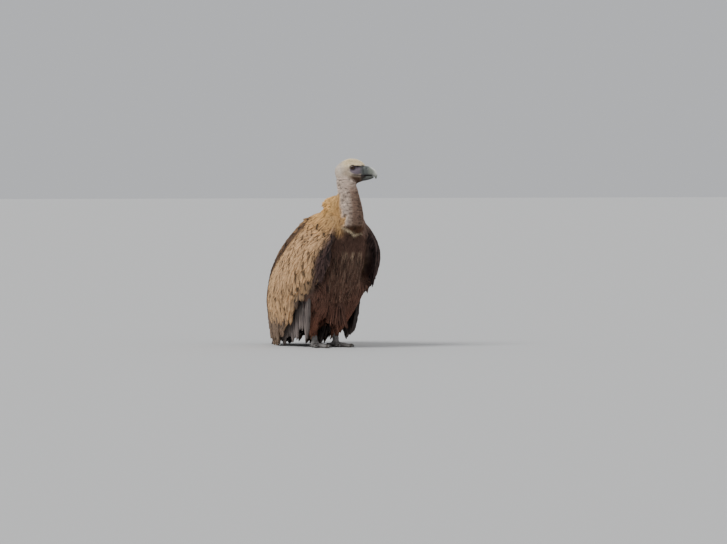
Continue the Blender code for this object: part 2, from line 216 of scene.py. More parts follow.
def mesh_from(name: str, points: np.ndarray, faces: list[tuple[int, ...]]) -> bpy.types.Mesh:
    """Makes a mesh with its faces pointing outwards and smooth.

    Args:
        name: the mesh's name.
        points: its vertices.
        faces: its faces, as vertex numbers.

    Returns:
        The mesh.
    """
    data = bpy.data.meshes.new(name)
    data.from_pydata([tuple(p) for p in points], [], faces)
    tidy = bmesh.new()
    tidy.from_mesh(data)
    bmesh.ops.remove_doubles(tidy, verts=tidy.verts, dist=0.00002)
    bmesh.ops.recalc_face_normals(tidy, faces=tidy.faces)
    tidy.to_mesh(data)
    tidy.free()
    data.shade_smooth()
    return data


def show(name: str, data: bpy.types.Mesh) -> bpy.types.Object:
    """Links a mesh into the scene as an object at the origin.

    Args:
        name: the object's name.
        data: the mesh.

    Returns:
        The object.
    """
    made = bpy.data.objects.new(name, data)
    bpy.context.scene.collection.objects.link(made)
    return made


def evaluated_mesh(obj: bpy.types.Object) -> bpy.types.Mesh:
    """Makes a plain mesh of what an object's modifiers give, with all its attributes.

    Args:
        obj: the object.

    Returns:
        The mesh.
    """
    graph = bpy.context.evaluated_depsgraph_get()
    return bpy.data.meshes.new_from_object(
        obj.evaluated_get(graph), preserve_all_data_layers=True, depsgraph=graph
    )


def coordinates(data: bpy.types.Mesh) -> np.ndarray:
    """Reads a mesh's vertices.

    Args:
        data: the mesh.

    Returns:
        One row of x, y, z for each vertex.
    """
    flat = np.empty(len(data.vertices) * 3)
    data.vertices.foreach_get("co", flat)
    return flat.reshape(-1, 3)


def normals(data: bpy.types.Mesh) -> np.ndarray:
    """Reads a mesh's vertex normals.

    Args:
        data: the mesh.

    Returns:
        One row for each vertex.
    """
    flat = np.empty(len(data.vertices) * 3)
    data.vertex_normals.foreach_get("vector", flat)
    return flat.reshape(-1, 3)


def move_to(data: bpy.types.Mesh, points: np.ndarray) -> None:
    """Moves a mesh's vertices to the given rows."""
    data.vertices.foreach_set("co", points.ravel())
    data.update()


def edge_ends(data: bpy.types.Mesh) -> np.ndarray:
    """Reads a mesh's edges.

    Args:
        data: the mesh.

    Returns:
        The two vertex numbers of each edge.
    """
    flat = np.empty(len(data.edges) * 2, dtype=np.int32)
    data.edges.foreach_get("vertices", flat)
    return flat.reshape(-1, 2)


def relax(values: np.ndarray, ends: np.ndarray, rounds: int, rate: float = 0.5) -> np.ndarray:
    """Evens out numbers over a mesh, each towards the average of its neighbours.

    Args:
        values: one row for each vertex.
        ends: the edges.
        rounds: how often.
        rate: how far each time.

    Returns:
        The evened rows.
    """
    count = len(values)
    degree = np.maximum(np.bincount(ends.ravel(), minlength=count), 1)[:, None]
    out = values.astype(float).copy()
    for _ in range(rounds):
        total = np.empty_like(out)
        for c in range(out.shape[1]):
            near = np.bincount(ends[:, 0], out[ends[:, 1], c], count)
            total[:, c] = near + np.bincount(ends[:, 1], out[ends[:, 0], c], count)
        out += rate * (total / degree - out)
    return out


def fair(points: np.ndarray, ends: np.ndarray, rounds: int) -> np.ndarray:
    """Smooths vertices without shrinking the shape, by a step in and a longer step out.

    Args:
        points: the vertices.
        ends: the edges.
        rounds: how often.

    Returns:
        The smoothed vertices.
    """
    for _ in range(rounds):
        points = relax(points, ends, 1, 0.6)
        points = relax(points, ends, 1, -0.62)
    return points


def store(data: bpy.types.Mesh, name: str, kind: str, rows: np.ndarray) -> None:
    """Keeps numbers on a mesh's vertices as a named attribute.

    Args:
        data: the mesh.
        name: the attribute's name.
        kind: FLOAT, FLOAT_VECTOR or FLOAT_COLOR.
        rows: one row, or number, for each vertex.
    """
    layer = data.attributes.new(name, kind, "POINT")
    key = {"FLOAT": "value", "FLOAT_VECTOR": "vector", "FLOAT_COLOR": "color"}[kind]
    if kind == "FLOAT_COLOR":
        rows = np.hstack([rows, np.ones((len(rows), 1))])
    layer.data.foreach_set(key, np.ascontiguousarray(rows, dtype=np.float32).ravel())


def add(
    tree: bpy.types.NodeTree, kind: str, inputs: dict | None = None, **settings: object
) -> bpy.types.Node:
    """Adds a node with its settings, and sets or links its inputs.

    Args:
        tree: the tree it goes in.
        kind: the node's type.
        inputs: name or number of an open input, to a value, a node or an output.
        **settings: the node's own properties.

    Returns:
        The node.
    """
    node = tree.nodes.new(kind)
    for key, value in settings.items():
        setattr(node, key, value)
    sockets = [s for s in node.inputs if s.enabled]
    for key, value in (inputs or {}).items():
        named = (s for s in sockets if s.name == key)
        socket = sockets[key] if isinstance(key, int) else next(named)
        if isinstance(value, bpy.types.Node):
            value = next(s for s in value.outputs if s.enabled)
        if isinstance(value, bpy.types.NodeSocket):
            tree.links.new(value, socket)
        else:
            socket.default_value = value
    return node


def out(node: bpy.types.Node, name: str) -> bpy.types.NodeSocket:
    """Returns a node's enabled output by name."""
    return next(s for s in node.outputs if s.enabled and s.name == name)


def new_material(name: str, **sockets: object) -> tuple[bpy.types.Material, bpy.types.Node]:
    """Makes a material whose surface is one Principled shader.

    Args:
        name: the finish's name.
        **sockets: values that are the same all over, by socket name with _ for spaces.

    Returns:
        The material and its shader node.
    """
    made = bpy.data.materials.new(name)
    made.use_nodes = True
    shader = made.node_tree.nodes["Principled BSDF"]
    for key, value in sockets.items():
        shader.inputs[key.replace("_", " ")].default_value = value
    return made, shader


def shade_tint(
    tree: bpy.types.NodeTree,
    tint: bpy.types.NodeSocket,
    light: bpy.types.Node,
    shader: bpy.types.Node,
) -> None:
    """Colours a shader by a tint multiplied by light and dark.

    Args:
        tree: the material's tree.
        tint: the colour.
        light: the node that gives its brightness, where 1 leaves it as it is.
        shader: the shader node.
    """
    grey = add(tree, "ShaderNodeCombineColor", {0: light, 1: light, 2: light})
    mixed = {0: 1.0, 1: tint, 2: grey}
    lit = add(tree, "ShaderNodeMix", mixed, data_type="RGBA", blend_type="MULTIPLY")
    tree.links.new(out(lit, "Result"), shader.inputs["Base Color"])


@dataclass(frozen=True)
class FeatherFinish:
    """Feather keratin, grown as barbs zipped into a vane and left unpreened in the wind.

    Matt, with barbs slanting to the edge, a shaft line and a worn pale rim. Its root is
    darkened and dark streaks run over its inner part, as painted shade in the gaps between feathers.
    """

    name: str
    rim_light: float
    centre_dark: float
    shaft_light: float
    # painted shade: how much darker the buried root of each vane is drawn
    root_shade: float
    vary: float
    reach_mm: float
    barb_mm: float = 2.4  # real barbs stand 0.5 mm apart, too fine to show
    patch_mm: float = 14.0
    stretch: float = 0.3
    # painted shade: how dark the streaks over the vane's inner part are, standing for the gaps between
    # feathers
    gap_shade: float = 0.4
    roughness: float = 0.8
    patch_light: float = 0.6
    floor: float = 0.35

    def build(self) -> bpy.types.Material:
        """Builds the finish over the feather's tint and its across, along and chance numbers.

        Returns:
            The material.
        """
        made, shader = new_material(
            self.name, Roughness=self.roughness, IOR=1.54, Specular_IOR_Level=0.22
        )
        tree = made.node_tree
        tint = out(add(tree, "ShaderNodeAttribute", attribute_name="tint"), "Color")
        vane = out(add(tree, "ShaderNodeAttribute", attribute_name="vane"), "Vector")
        parts = add(tree, "ShaderNodeSeparateXYZ", {0: vane})
        along, chance = out(parts, "Y"), out(parts, "Z")
        across = add(tree, "ShaderNodeMath", {0: out(parts, "X")}, operation="ABSOLUTE")
        slant = add(
            tree, "ShaderNodeMath", {0: across, 1: -0.25, 2: along}, operation="MULTIPLY_ADD"
        )
        turns = math.tau * self.reach_mm / self.barb_mm
        phase = add(tree, "ShaderNodeMath", {0: slant, 1: turns}, operation="MULTIPLY")
        barbs = add(tree, "ShaderNodeMath", {0: phase}, operation="SINE")
        where = out(add(tree, "ShaderNodeTexCoord"), "Object")
        drawn = add(
            tree,
            "ShaderNodeVectorMath",
            {0: where, 1: (1.0, 1.0, self.stretch)},
            operation="MULTIPLY",
        )
        patches = add(
            tree,
            "ShaderNodeTexNoise",
            {"Vector": drawn, "Scale": 1 / (self.patch_mm * MM), "Detail": 2.0},
        )
        middle = add(tree, "ShaderNodeMapRange", {0: across, 1: 0.0, 2: 0.65, 3: 1.0, 4: 0.0})
        inner = add(tree, "ShaderNodeMapRange", {0: along, 1: 1.0, 2: 0.6, 3: 0.0, 4: 1.0})
        # Painted shadow streaks: noise patches over the vane's inner part, darkened as the shade in
        # the gaps between feathers.
        hollow = add(tree, "ShaderNodeMapRange", {0: patches, 1: 0.46, 2: 0.38, 3: 0.0, 4: 1.0})
        gaps = add(tree, "ShaderNodeMath", {0: hollow, 1: inner}, operation="MULTIPLY")
        heart = add(tree, "ShaderNodeMath", {0: middle, 1: inner}, operation="MULTIPLY")
        outer = add(tree, "ShaderNodeMath", {0: across, 1: along}, operation="MAXIMUM")
        rim = add(tree, "ShaderNodeMapRange", {0: outer, 1: 0.72, 2: 1.0, 3: 0.0, 4: 1.0})
        quill = add(tree, "ShaderNodeMapRange", {0: across, 1: 0.16, 2: 0.04, 3: 0.0, 4: 1.0})
        light: bpy.types.Node | float = 1.0
        for source, shift, share in (
            (chance, 0.5, self.vary),
            (patches, 0.5, self.patch_light),
            (gaps, 0.0, -self.gap_shade),
            (barbs, 0.0, 0.06),
            (rim, 0.0, self.rim_light),
            (heart, 0.0, -self.centre_dark),
            (quill, 0.0, self.shaft_light),
        ):
            level = add(tree, "ShaderNodeMath", {0: source, 1: shift}, operation="SUBTRACT")
            light = add(
                tree, "ShaderNodeMath", {0: level, 1: share, 2: light}, operation="MULTIPLY_ADD"
            )
        light = add(tree, "ShaderNodeMath", {0: light, 1: self.floor}, operation="MAXIMUM")
        # Painted shade at the root, where each feather lies under its neighbours.
        root = add(tree, "ShaderNodeMapRange", {0: along, 1: 0.0, 2: 0.75, 3: 1.0, 4: 0.0})
        depth = add(tree, "ShaderNodeMath", {0: root, 1: 1.3}, operation="POWER")
        shade = add(
            tree, "ShaderNodeMath", {0: depth, 1: -self.root_shade, 2: 1.0}, operation="MULTIPLY_ADD"
        )
        light = add(tree, "ShaderNodeMath", {0: light, 1: shade}, operation="MULTIPLY")
        shade_tint(tree, tint, light, shader)
        bump = add(tree, "ShaderNodeBump", {"Strength": 0.4, "Distance": 0.0006, "Height": barbs})
        tree.links.new(out(bump, "Normal"), shader.inputs["Normal"])
        return made


@dataclass(frozen=True)
class HideFinish:
    """Living bird skin: creased and blotched on neck and face, in worn scutes on the feet.

    Dry and dull, so light breaks up over it, with dark lines in its creases.
    """

    name: str = "creased_bird_hide"
    roughness: float = 0.6
    scute_mm: float = 2.6
    pore_mm: float = 1.3
    blotch_mm: float = 11.0

    def build(self) -> bpy.types.Material:
        """Builds the finish over the skin's own tint and scute attributes.

        Returns:
            The material.
        """
        made, shader = new_material(
            self.name, Roughness=self.roughness, IOR=1.4, Specular_IOR_Level=0.4
        )
        tree = made.node_tree
        tint = out(add(tree, "ShaderNodeAttribute", attribute_name="tint"), "Color")
        bare = out(add(tree, "ShaderNodeAttribute", attribute_name="scutes"), "Fac")
        where = out(add(tree, "ShaderNodeTexCoord"), "Object")
        cells = add(
            tree,
            "ShaderNodeTexVoronoi",
            {"Vector": where, "Scale": 1 / (self.scute_mm * MM)},
            feature="DISTANCE_TO_EDGE",
        )
        plate = add(tree, "ShaderNodeMapRange", {0: cells, 1: 0.0, 2: 0.2, 3: 0.0, 4: 1.0})
        pores = add(
            tree,
            "ShaderNodeTexNoise",
            {"Vector": where, "Scale": 1 / (self.pore_mm * MM), "Detail": 3.0},
        )
        blotch = add(
            tree,
            "ShaderNodeTexNoise",
            {"Vector": where, "Scale": 1 / (self.blotch_mm * MM), "Detail": 3.0},
        )
        seam = add(tree, "ShaderNodeMath", {0: 1.0, 1: plate}, operation="SUBTRACT")
        dark = add(tree, "ShaderNodeMath", {0: seam, 1: bare}, operation="MULTIPLY")
        light = add(
            tree, "ShaderNodeMath", {0: dark, 1: -0.55, 2: 1.0}, operation="MULTIPLY_ADD"
        )
        for source, share in ((pores, 0.7), (blotch, 0.8)):
            level = add(tree, "ShaderNodeMath", {0: source, 1: 0.5}, operation="SUBTRACT")
            light = add(
                tree, "ShaderNodeMath", {0: level, 1: share, 2: light}, operation="MULTIPLY_ADD"
            )
        shade_tint(tree, tint, light, shader)
        relief = add(tree, "ShaderNodeMath", {0: plate, 1: bare}, operation="MULTIPLY")
        relief = add(
            tree, "ShaderNodeMath", {0: pores, 1: 0.5, 2: relief}, operation="MULTIPLY_ADD"
        )
        bump = add(tree, "ShaderNodeBump", {"Strength": 0.55, "Distance": 0.0008, "Height": relief})
        tree.links.new(out(bump, "Normal"), shader.inputs["Normal"])
        return made


@dataclass(frozen=True)
class HornFinish:
    """Keratin horn, grown in layers along the bill and claw and rubbed smooth in use.

    Satin, with faint streaks and a soft highlight along every ridge.
    """

    name: str
    roughness: float = 0.36
    streak_mm: float = 3.5

    def build(self) -> bpy.types.Material:
        """Builds the finish over the piece's tint attribute.

        Returns:
            The material.
        """
        made, shader = new_material(
            self.name, Roughness=self.roughness, IOR=1.54, Coat_Weight=0.12, Coat_Roughness=0.25
        )
        tree = made.node_tree
        tint = out(add(tree, "ShaderNodeAttribute", attribute_name="tint"), "Color")
        where = out(add(tree, "ShaderNodeTexCoord"), "Object")
        streak = add(
            tree,
            "ShaderNodeTexNoise",
            {"Vector": where, "Scale": 1 / (self.streak_mm * MM), "Detail": 5.0},
        )
        level = add(tree, "ShaderNodeMath", {0: streak, 1: 0.5}, operation="SUBTRACT")
        light = add(tree, "ShaderNodeMath", {0: level, 1: 0.7, 2: 1.0}, operation="MULTIPLY_ADD")
        shade_tint(tree, tint, light, shader)
        bump = add(tree, "ShaderNodeBump", {"Strength": 0.25, "Distance": 0.0004, "Height": streak})
        tree.links.new(out(bump, "Normal"), shader.inputs["Normal"])
        return made


@dataclass(frozen=True)
class EyeFinish:
    """A live eye: black pupil and dark umber iris under a wet clear cornea.

    The cornea's clear coat gives one sharp glint over a nearly black ball.
    """

    name: str = "wet_umber_eye"
    pupil: str = "030202"
    iris: str = "40240F"
    rim: str = "130C09"
    pupil_mm: float = 2.7
    iris_mm: float = 5.6
    field_mm: float = 8.0  # where the colour ramp ends, beyond the iris

    def build(self) -> bpy.types.Material:
        """Builds the finish over the eye's gaze attribute, in mm from its axis.

        Returns:
            The material.
        """
        made, shader = new_material(
            self.name,
            Roughness=0.3,
            Specular_IOR_Level=0.2,
            IOR=1.376,
            Coat_Weight=0.4,
            Coat_Roughness=0.02,
        )
        tree = made.node_tree
        gaze = out(add(tree, "ShaderNodeAttribute", attribute_name="gaze"), "Fac")
        share = add(tree, "ShaderNodeMath", {0: gaze, 1: self.field_mm}, operation="DIVIDE")
        ramp = add(tree, "ShaderNodeValToRGB", {0: share})
        stops = ramp.color_ramp.elements
        for k, (reach, code) in enumerate(
            (
                (self.pupil_mm, self.pupil),
                (self.pupil_mm + 0.4, self.iris),
                (self.iris_mm - 0.5, self.iris),
                (self.iris_mm, self.rim),
            )
        ):
            at = reach / self.field_mm
            stop = stops[k] if k < 2 else stops.new(at)
            stop.position, stop.color = at, (*linear(code), 1)
        tree.links.new(out(ramp, "Color"), shader.inputs["Base Color"])
        return made


@dataclass(frozen=True)
class FloorFinish:
    """Seamless studio paper, rolled smooth: pale and matt, so only soft shadow shows."""

    colour: str = "C3C3C2"

    def build(self) -> bpy.types.Material:
        """Builds the material.

        Returns:
            The material.
        """
        made, _ = new_material(
            "pale_studio_paper", Base_Color=(*linear(self.colour), 1), Roughness=0.9
        )
        return made


class Tract(Enum):
    """The regions of plumage that a nearest CAD node gives a patch of skin."""

    HEAD = 0
    NECK = 1
    RUFF = 2
    TRUNK = 3
    BACK = 4
    WING = 5
    THIGH = 6


TRACT_NODES = {
    Tract.HEAD: ["head"],
    Tract.NECK: ["neck"],
    Tract.RUFF: ["ruff"],
    Tract.TRUNK: ["trunk"],
    Tract.BACK: ["back"],
    Tract.WING: ["wing_coverts_right", "wing_coverts_left"],
    Tract.THIGH: ["thigh_right", "thigh_left"],
}

# Depth of coat that the skin lies inside the outline by, in mm, for each tract.
COAT_DEPTH = {
    Tract.HEAD: 0.2,
    Tract.NECK: 3.2,
    Tract.RUFF: 8.0,
    Tract.TRUNK: 8.0,
    Tract.BACK: 7.0,
    Tract.WING: 7.0,
    Tract.THIGH: 8.0,
}

# The folded wing's top edge and hem, as heights at stations along the body, front to rear.
WING_STATIONS = (-30.0, -25.0, -20.0, -14.0, -7.0, 0.0, 6.0, 11.0, 14.6, 17.6)
WING_TOPS = (22.0, 30.4, 35.2, 39.6, 44.0, 48.2, 50.4, 49.0, 46.0, 40.0)
WING_HEMS = (17.0, 7.6, 4.8, 5.8, 10.0, 15.4, 19.2, 21.8, 25.0, 33.0)


def to_bird(points: np.ndarray) -> np.ndarray:
    """Turns places in the frame into places on the bird.

    Args:
        points: rows of metres.

    Returns:
        Rows of (left, forward, height) centimetres.
    """
    return np.column_stack(
        [points[:, 0] / CM, -(points[:, 1] + FEET_FORWARD) / CM, points[:, 2] / CM]
    )


def to_head(points: np.ndarray) -> np.ndarray:
    """Turns rows of metres into the head's (sideways, ahead, above) centimetres."""
    return points @ HEAD_INVERSE[:3, :3].T + HEAD_INVERSE[:3, 3]


def from_neck(bird: np.ndarray) -> tuple[np.ndarray, np.ndarray]:
    """Distance in cm from the neck's own bent axis, level with each point.

    Args:
        bird: points as (left, forward, height) centimetres.

    Returns:
        The distances, and how far forward of the axis each point lies.
    """
    axis = np.interp(bird[:, 2], (44.5, 50.0, 57.0, 63.0), (15.0, 16.2, 13.8, 11.6))
    return np.hypot(bird[:, 0] - 0.3, bird[:, 1] - axis), bird[:, 1] - axis


def world(left: float, forward: float, up: float) -> np.ndarray:
    """A direction in the frame from its leftward, forward and upward parts."""
    return np.array([left, -forward, up])


def soft_fills() -> list[tuple[np.ndarray, list[tuple[int, ...]]]]:
    """Soft masses in the ruff's bowl, under the belly and between ruff, back and wings.

    Returns:
        Points and faces of each.
    """
    bowl = [
        Ring((0.0, 5.5, 46.0), 1.5, 1.5, 2.0),
        Ring((0.0, 7.5, 47.0), 5.0, 8.0, 3.0),
        Ring((0.0, 9.3, 46.8), 6.6, 13.2, 3.0),
        Ring((0.0, 11.0, 46.4), 7.0, 13.6, 3.0),
        Ring((0.0, 12.6, 45.8), 6.4, 7.0, 3.0),
        Ring((0.0, 15.0, 45.0), 5.6, 3.0, 2.6),
        Ring((0.0, 17.0, 44.6), 2.5, 1.5, 1.5),
    ]
    belly = [
        Ring((0.0, -5.0, 14.5), 1.0, 1.0, 1.0),
        Ring((0.0, -2.0, 14.5), 4.6, 2.0, 3.4),
        Ring((0.0, 3.0, 14.5), 5.2, 2.0, 4.2),
        Ring((0.0, 7.0, 15.0), 4.4, 2.0, 3.6),
        Ring((0.0, 9.5, 16.0), 1.0, 1.0, 1.0),
    ]
    shapes = [loft_arrays(rings, Vector((0, 0, 1)), 18, 28, TO_BODY) for rings in (bowl, belly)]
    for side in SIDES.values():
        rings = [
            Ring((side * 6.0, 7.5, 46.6), 0.6, 0.6, 0.6),
            Ring((side * 6.0, 5.0, 46.4), 2.4, 2.6, 2.2),
            Ring((side * 6.2, 2.0, 45.8), 2.8, 2.6, 2.6),
            Ring((side * 6.2, -2.0, 44.2), 2.2, 1.8, 2.2),
            Ring((side * 6.2, -5.0, 42.8), 0.6, 0.5, 0.6),
        ]
        shapes.append(loft_arrays(rings, Vector((0, 0, 1)), 14, 20, TO_BODY))
    return shapes


@dataclass
class Skin:
    """The one skin under the whole coat, with the bare face, legs and feet showing."""

    body_voxel: float = 5.4 * MM
    leg_voxel: float = 1.5 * MM
    swell: float = 1.0 * MM
    data: bpy.types.Mesh = field(init=False)
    weights: dict[Tract, np.ndarray] = field(init=False)

    def node_arrays(self, names: list[str]) -> tuple[np.ndarray, list[tuple[int, ...]]]:
        """Joins copies of CAD nodes, merged and swollen so that they overlap.

        Args:
            names: the nodes.

        Returns:
            Points and faces.
        """
        points: list[np.ndarray] = []
        faces: list[tuple[int, ...]] = []
        start = 0
        for name in names:
            copy = bmesh.new()
            copy.from_mesh(FRAME["nodes"][name].data)
            bmesh.ops.remove_doubles(copy, verts=copy.verts, dist=0.00001)
            copy.normal_update()
            copy.verts.index_update()
            points.append(np.array([tuple(v.co + v.normal * self.swell) for v in copy.verts]))
            faces += [tuple(v.index + start for v in f.verts) for f in copy.faces]
            start += len(copy.verts)
            copy.free()
        return np.vstack(points), faces

    def remeshed(
        self, parts: list[tuple[np.ndarray, list[tuple[int, ...]]]], voxel: float
    ) -> bpy.types.Mesh:
        """Makes one closed skin round overlapping closed shapes.

        Args:
            parts: points and faces of each shape.
            voxel: the size of the skin's cells.

        Returns:
            The skin's mesh.
        """
        points, faces, start = [], [], 0
        for some_points, some_faces in parts:
            points.append(some_points)
            faces += [tuple(i + start for i in f) for f in some_faces]
            start += len(some_points)
        data = bpy.data.meshes.new("rough")
        data.from_pydata([tuple(p) for p in np.vstack(points)], [], faces)
        rough = show("rough", data)
        cells = rough.modifiers.new("cells", "REMESH")
        cells.mode = "VOXEL"
        cells.voxel_size = voxel
        made = evaluated_mesh(rough)
        bpy.data.objects.remove(rough)
        return made

    def keep_outer(self, data: bpy.types.Mesh) -> None:
        """Drops the loose bubbles inside a skin and keeps its largest shell.

        Args:
            data: the skin's mesh.
        """
        mesh = bmesh.new()
        mesh.from_mesh(data)
        unseen = set(mesh.verts)
        shells = []
        while unseen:
            shell, edge = [], [unseen.pop()]
            while edge:
                vert = edge.pop()
                shell.append(vert)
                near = {e.other_vert(vert) for e in vert.link_edges} & unseen
                unseen -= near
                edge.extend(near)
            shells.append(shell)
        shells.sort(key=len)
        extra = [v for shell in shells[:-1] for v in shell]
        bmesh.ops.delete(mesh, geom=extra, context="VERTS")
        mesh.to_mesh(data)
        mesh.free()

    def refine_head(self, data: bpy.types.Mesh) -> None:
        """Splits the faces of head and neck, then of the face, then round the eyes.

        Args:
            data: the skin's mesh.
        """
        mesh = bmesh.new()
        mesh.from_mesh(data)
        for zone in ("neck", "face", "eyes"):
            mesh.verts.index_update()
            points = np.array([tuple(v.co) for v in mesh.verts])
            bird, local = to_bird(points), to_head(points)
            inside = {
                "neck": (bird[:, 2] > 44.5) & (from_neck(bird)[0] < 6.6),
                "face": np.linalg.norm(local - (0, 1.4, -1.2), axis=1) < 4.6,
                "eyes": np.hypot(local[:, 1], local[:, 2]) < 1.7,
            }[zone]
            if zone != "neck":
                inside &= (np.abs(local[:, 0]) > 1.2) & (np.abs(local[:, 1]) < 6)
            if zone == "neck":
                inside |= np.linalg.norm(local - (0, -0.8, -1.8), axis=1) < 7.4
            edges = [e for e in mesh.edges if any(inside[v.index] for v in e.verts)]
            bmesh.ops.subdivide_edges(mesh, edges=edges, cuts=1, use_grid_fill=True)
        bmesh.ops.triangulate(mesh, faces=[f for f in mesh.faces if len(f.verts) > 4])
        mesh.to_mesh(data)
        mesh.free()

    def tract_weights(self, points: np.ndarray, ends: np.ndarray) -> dict[Tract, np.ndarray]:
        """How much each vertex belongs to each tract, soft at the borders.

        Args:
            points: the skin's vertices.
            ends: its edges.

        Returns:
            One column for each tract.
        """
        verts: list[tuple[float, ...]] = []
        faces: list[tuple[int, ...]] = []
        owners: list[int] = []
        for tract, names in TRACT_NODES.items():
            some, some_faces = self.node_arrays(names)
            faces += [tuple(i + len(verts) for i in f) for f in some_faces]
            owners += [tract.value] * len(some_faces)
            verts += [tuple(p) for p in some]
        tree = BVHTree.FromPolygons(verts, faces)
        owner = np.array([owners[tree.find_nearest(Vector(p))[2]] for p in points])
        bird = to_bird(points)
        away, ahead = from_neck(bird)
        collar = (owner == Tract.NECK.value) & (away > 4.7) & (ahead < 2) & (bird[:, 2] < 57.5)
        owner[collar] = Tract.RUFF.value
        hot = np.zeros((len(points), len(Tract)))
        hot[np.arange(len(points)), owner] = 1.0
        hot = relax(hot, ends, 9)
        return {tract: hot[:, tract.value] for tract in Tract}

    def sink(self, data: bpy.types.Mesh, ends: np.ndarray) -> None:
        """Draws the skin in by the coat's depth, or less where the body is thin.

        Args:
            data: the skin's mesh.
            ends: its edges.
        """
        points, outward = coordinates(data), normals(data)
        depth = sum(self.weights[t] * COAT_DEPTH[t] * MM for t in Tract)
        tree = BVHTree.FromPolygons(
            [tuple(p) for p in points], [tuple(f.vertices) for f in data.polygons]
        )
        thick = np.full(len(points), 0.1)
        for i in np.flatnonzero(depth > 0.002):
            start = Vector(points[i] - outward[i] * 0.0004)
            hit = tree.ray_cast(start, Vector(-outward[i]), 0.1)
            if hit[0] is not None:
                thick[i] = hit[3]
        nape = self.weights[Tract.NECK] * ease(0.0, 0.7, outward[:, 1])
        depth += nape * ease(0.56, 0.53, points[:, 2]) * 5 * MM
        outer = ease(0.46, 0.48, points[:, 2]) * ease(0.6, 0.2, outward[:, 2])
        depth += self.weights[Tract.RUFF] * outer * 6 * MM
        depth = np.minimum(depth + self.swell, thick * 0.32)
        depth = relax(depth[:, None], ends, 6)[:, 0]
        points = points - outward * depth[:, None]
        bird = to_bird(points)
        hug = 0.12 * self.weights[Tract.RUFF] * ease(46.5, 51.0, bird[:, 2])
        middle = np.column_stack([0 * hug, 0 * hug + 9.0, bird[:, 2]])
        bird += (middle - bird) * hug[:, None]
        move_to(data, np.array([tuple(place(*b)) for b in bird]))

    def shape_face(self, data: bpy.types.Mesh) -> None:
        """Raises brow and lids and sinks lores, socket and gape, in the head's own frame.

        Args:
            data: the skin's mesh.
        """
        points = coordinates(data)
        local = to_head(points)
        side = np.sign(local[:, 0])
        s, a, h = np.abs(local[:, 0]), local[:, 1], local[:, 2]
        near = (np.abs(a) < 5.5) & (np.abs(h + 1) < 5) & (s < 4.5)
        ridge = 0.98 - 0.05 * (a - 0.3) ** 2
        brow = np.exp(-(((a - 0.9) / 1.9) ** 2)) * np.exp(-(((h - ridge) / 0.30) ** 2))
        hollow = np.exp(-(((a - 2.3) / 1.0) ** 2) - ((h + 0.1) / 0.6) ** 2)
        under = np.exp(-((a / 1.5) ** 2) - ((h + 1.15) / 0.35) ** 2)
        cheek = np.exp(-(((a + 0.3) / 1.6) ** 2) - ((h + 2.4) / 0.9) ** 2)
        gape = np.exp(-(((h + 2.75 + 0.08 * (a - 2)) / 0.14) ** 2)) * ease(-0.6, 0.4, a)
        relief = 0.36 * brow - 0.26 * hollow - 0.10 * under + 0.12 * cheek - 0.16 * gape
        s_new = s + near * ease(0.8, 1.5, s) * relief
        reach = np.hypot(a, h)
        opening = np.hypot(a / 0.82, h / np.where(h > 0, 0.40, 0.60))
        ball = EYE_SPREAD + np.sqrt(np.maximum(EYE_RADIUS**2 - reach**2, 0.0))
        lid = ball.clip(EYE_SPREAD + 0.55) + 0.11 * np.exp(-(((opening - 1.16) / 0.16) ** 2))
        down_bill = np.clip(np.abs((h + 1.2) / 1.78), 0, 1)
        bill = np.interp(a, (3.0, 4.3), (1.47, 1.42)) * (1 - down_bill**2.3) ** (1 / 2.3) - 0.03
        join = ease(3.3, 4.25, a) * (h > -2.9)
        s_new = s_new * (1 - join) + np.minimum(s_new, bill) * join
        hold = ease(2.0, 1.25, opening)
        lids = s_new * (1 - hold) + lid * hold - 0.34 * ease(1.04, 0.92, opening)
        s_new = np.where(near & (opening < 2.0) & (s > 1.5), lids, s_new)
        fold = 0.025 * np.sin(opening * 13) * ease(1.3, 1.5, opening) * ease(3.0, 2.0, opening)
        s_new = s_new + near * (s > 1.5) * fold
        crown = 0.38 * ease(1.1, 2.6, h) * np.exp(-(((a + 1.2) / 3.6) ** 2))
        local = np.column_stack([np.where(s > 0.3, side * s_new, local[:, 0]), a, h + crown])
        matrix = np.array(HEAD)
        moved = local @ matrix[:3, :3].T + matrix[:3, 3]
        move_to(data, np.where(near[:, None], moved, points))

    def wrinkle_neck(self, data: bpy.types.Mesh) -> None:
        """Rings the neck with fine soft folds.

        Args:
            data: the skin's mesh.
        """
        points, outward = coordinates(data), normals(data)
        bird = to_bird(points)
        amount = self.weights[Tract.NECK] * ease(45.0, 48.0, bird[:, 2])
        wave = np.sin(bird[:, 2] * 8.4 + 1.6 * np.sin(bird[:, 0] * 1.1) + 1.2 * bird[:, 1] * 0.5)
        slow = 0.5 + 0.5 * np.sin(bird[:, 2] * 1.3 + bird[:, 0])
        move_to(data, points + outward * (amount * wave * slow * 1.3 * MM)[:, None])

    def build(self) -> bpy.types.Object:
        """Builds the skin with its attributes and its unwrap.

        Returns:
            The skin object.
        """
        names = [n for group in TRACT_NODES.values() for n in group]
        body = self.remeshed([self.node_arrays(names), *soft_fills()], self.body_voxel)
        self.keep_outer(body)
        ends = edge_ends(body)
        points = fair(coordinates(body), ends, 6)
        blurred = relax(points, ends, 10, 0.5)
        weights = self.tract_weights(points, ends)
        firm = (weights[Tract.HEAD] + weights[Tract.NECK] * 0.6).clip(0, 1)[:, None]
        move_to(body, points * firm + blurred * (1 - firm))
        self.refine_head(body)
        ends = edge_ends(body)
        points = coordinates(body)
        self.weights = self.tract_weights(points, ends)
        soft = relax(points, ends, 3, 0.5)
        firm = self.weights[Tract.HEAD][:, None]
        move_to(body, soft * firm + points * (1 - firm))
        self.sink(body, ends)
        self.wrinkle_neck(body)
        self.shape_face(body)
        self.data = body
        skin = show("skin", body)
        self.paint()
        self.join_legs(skin)
        self.unwrap(skin)
        return skin

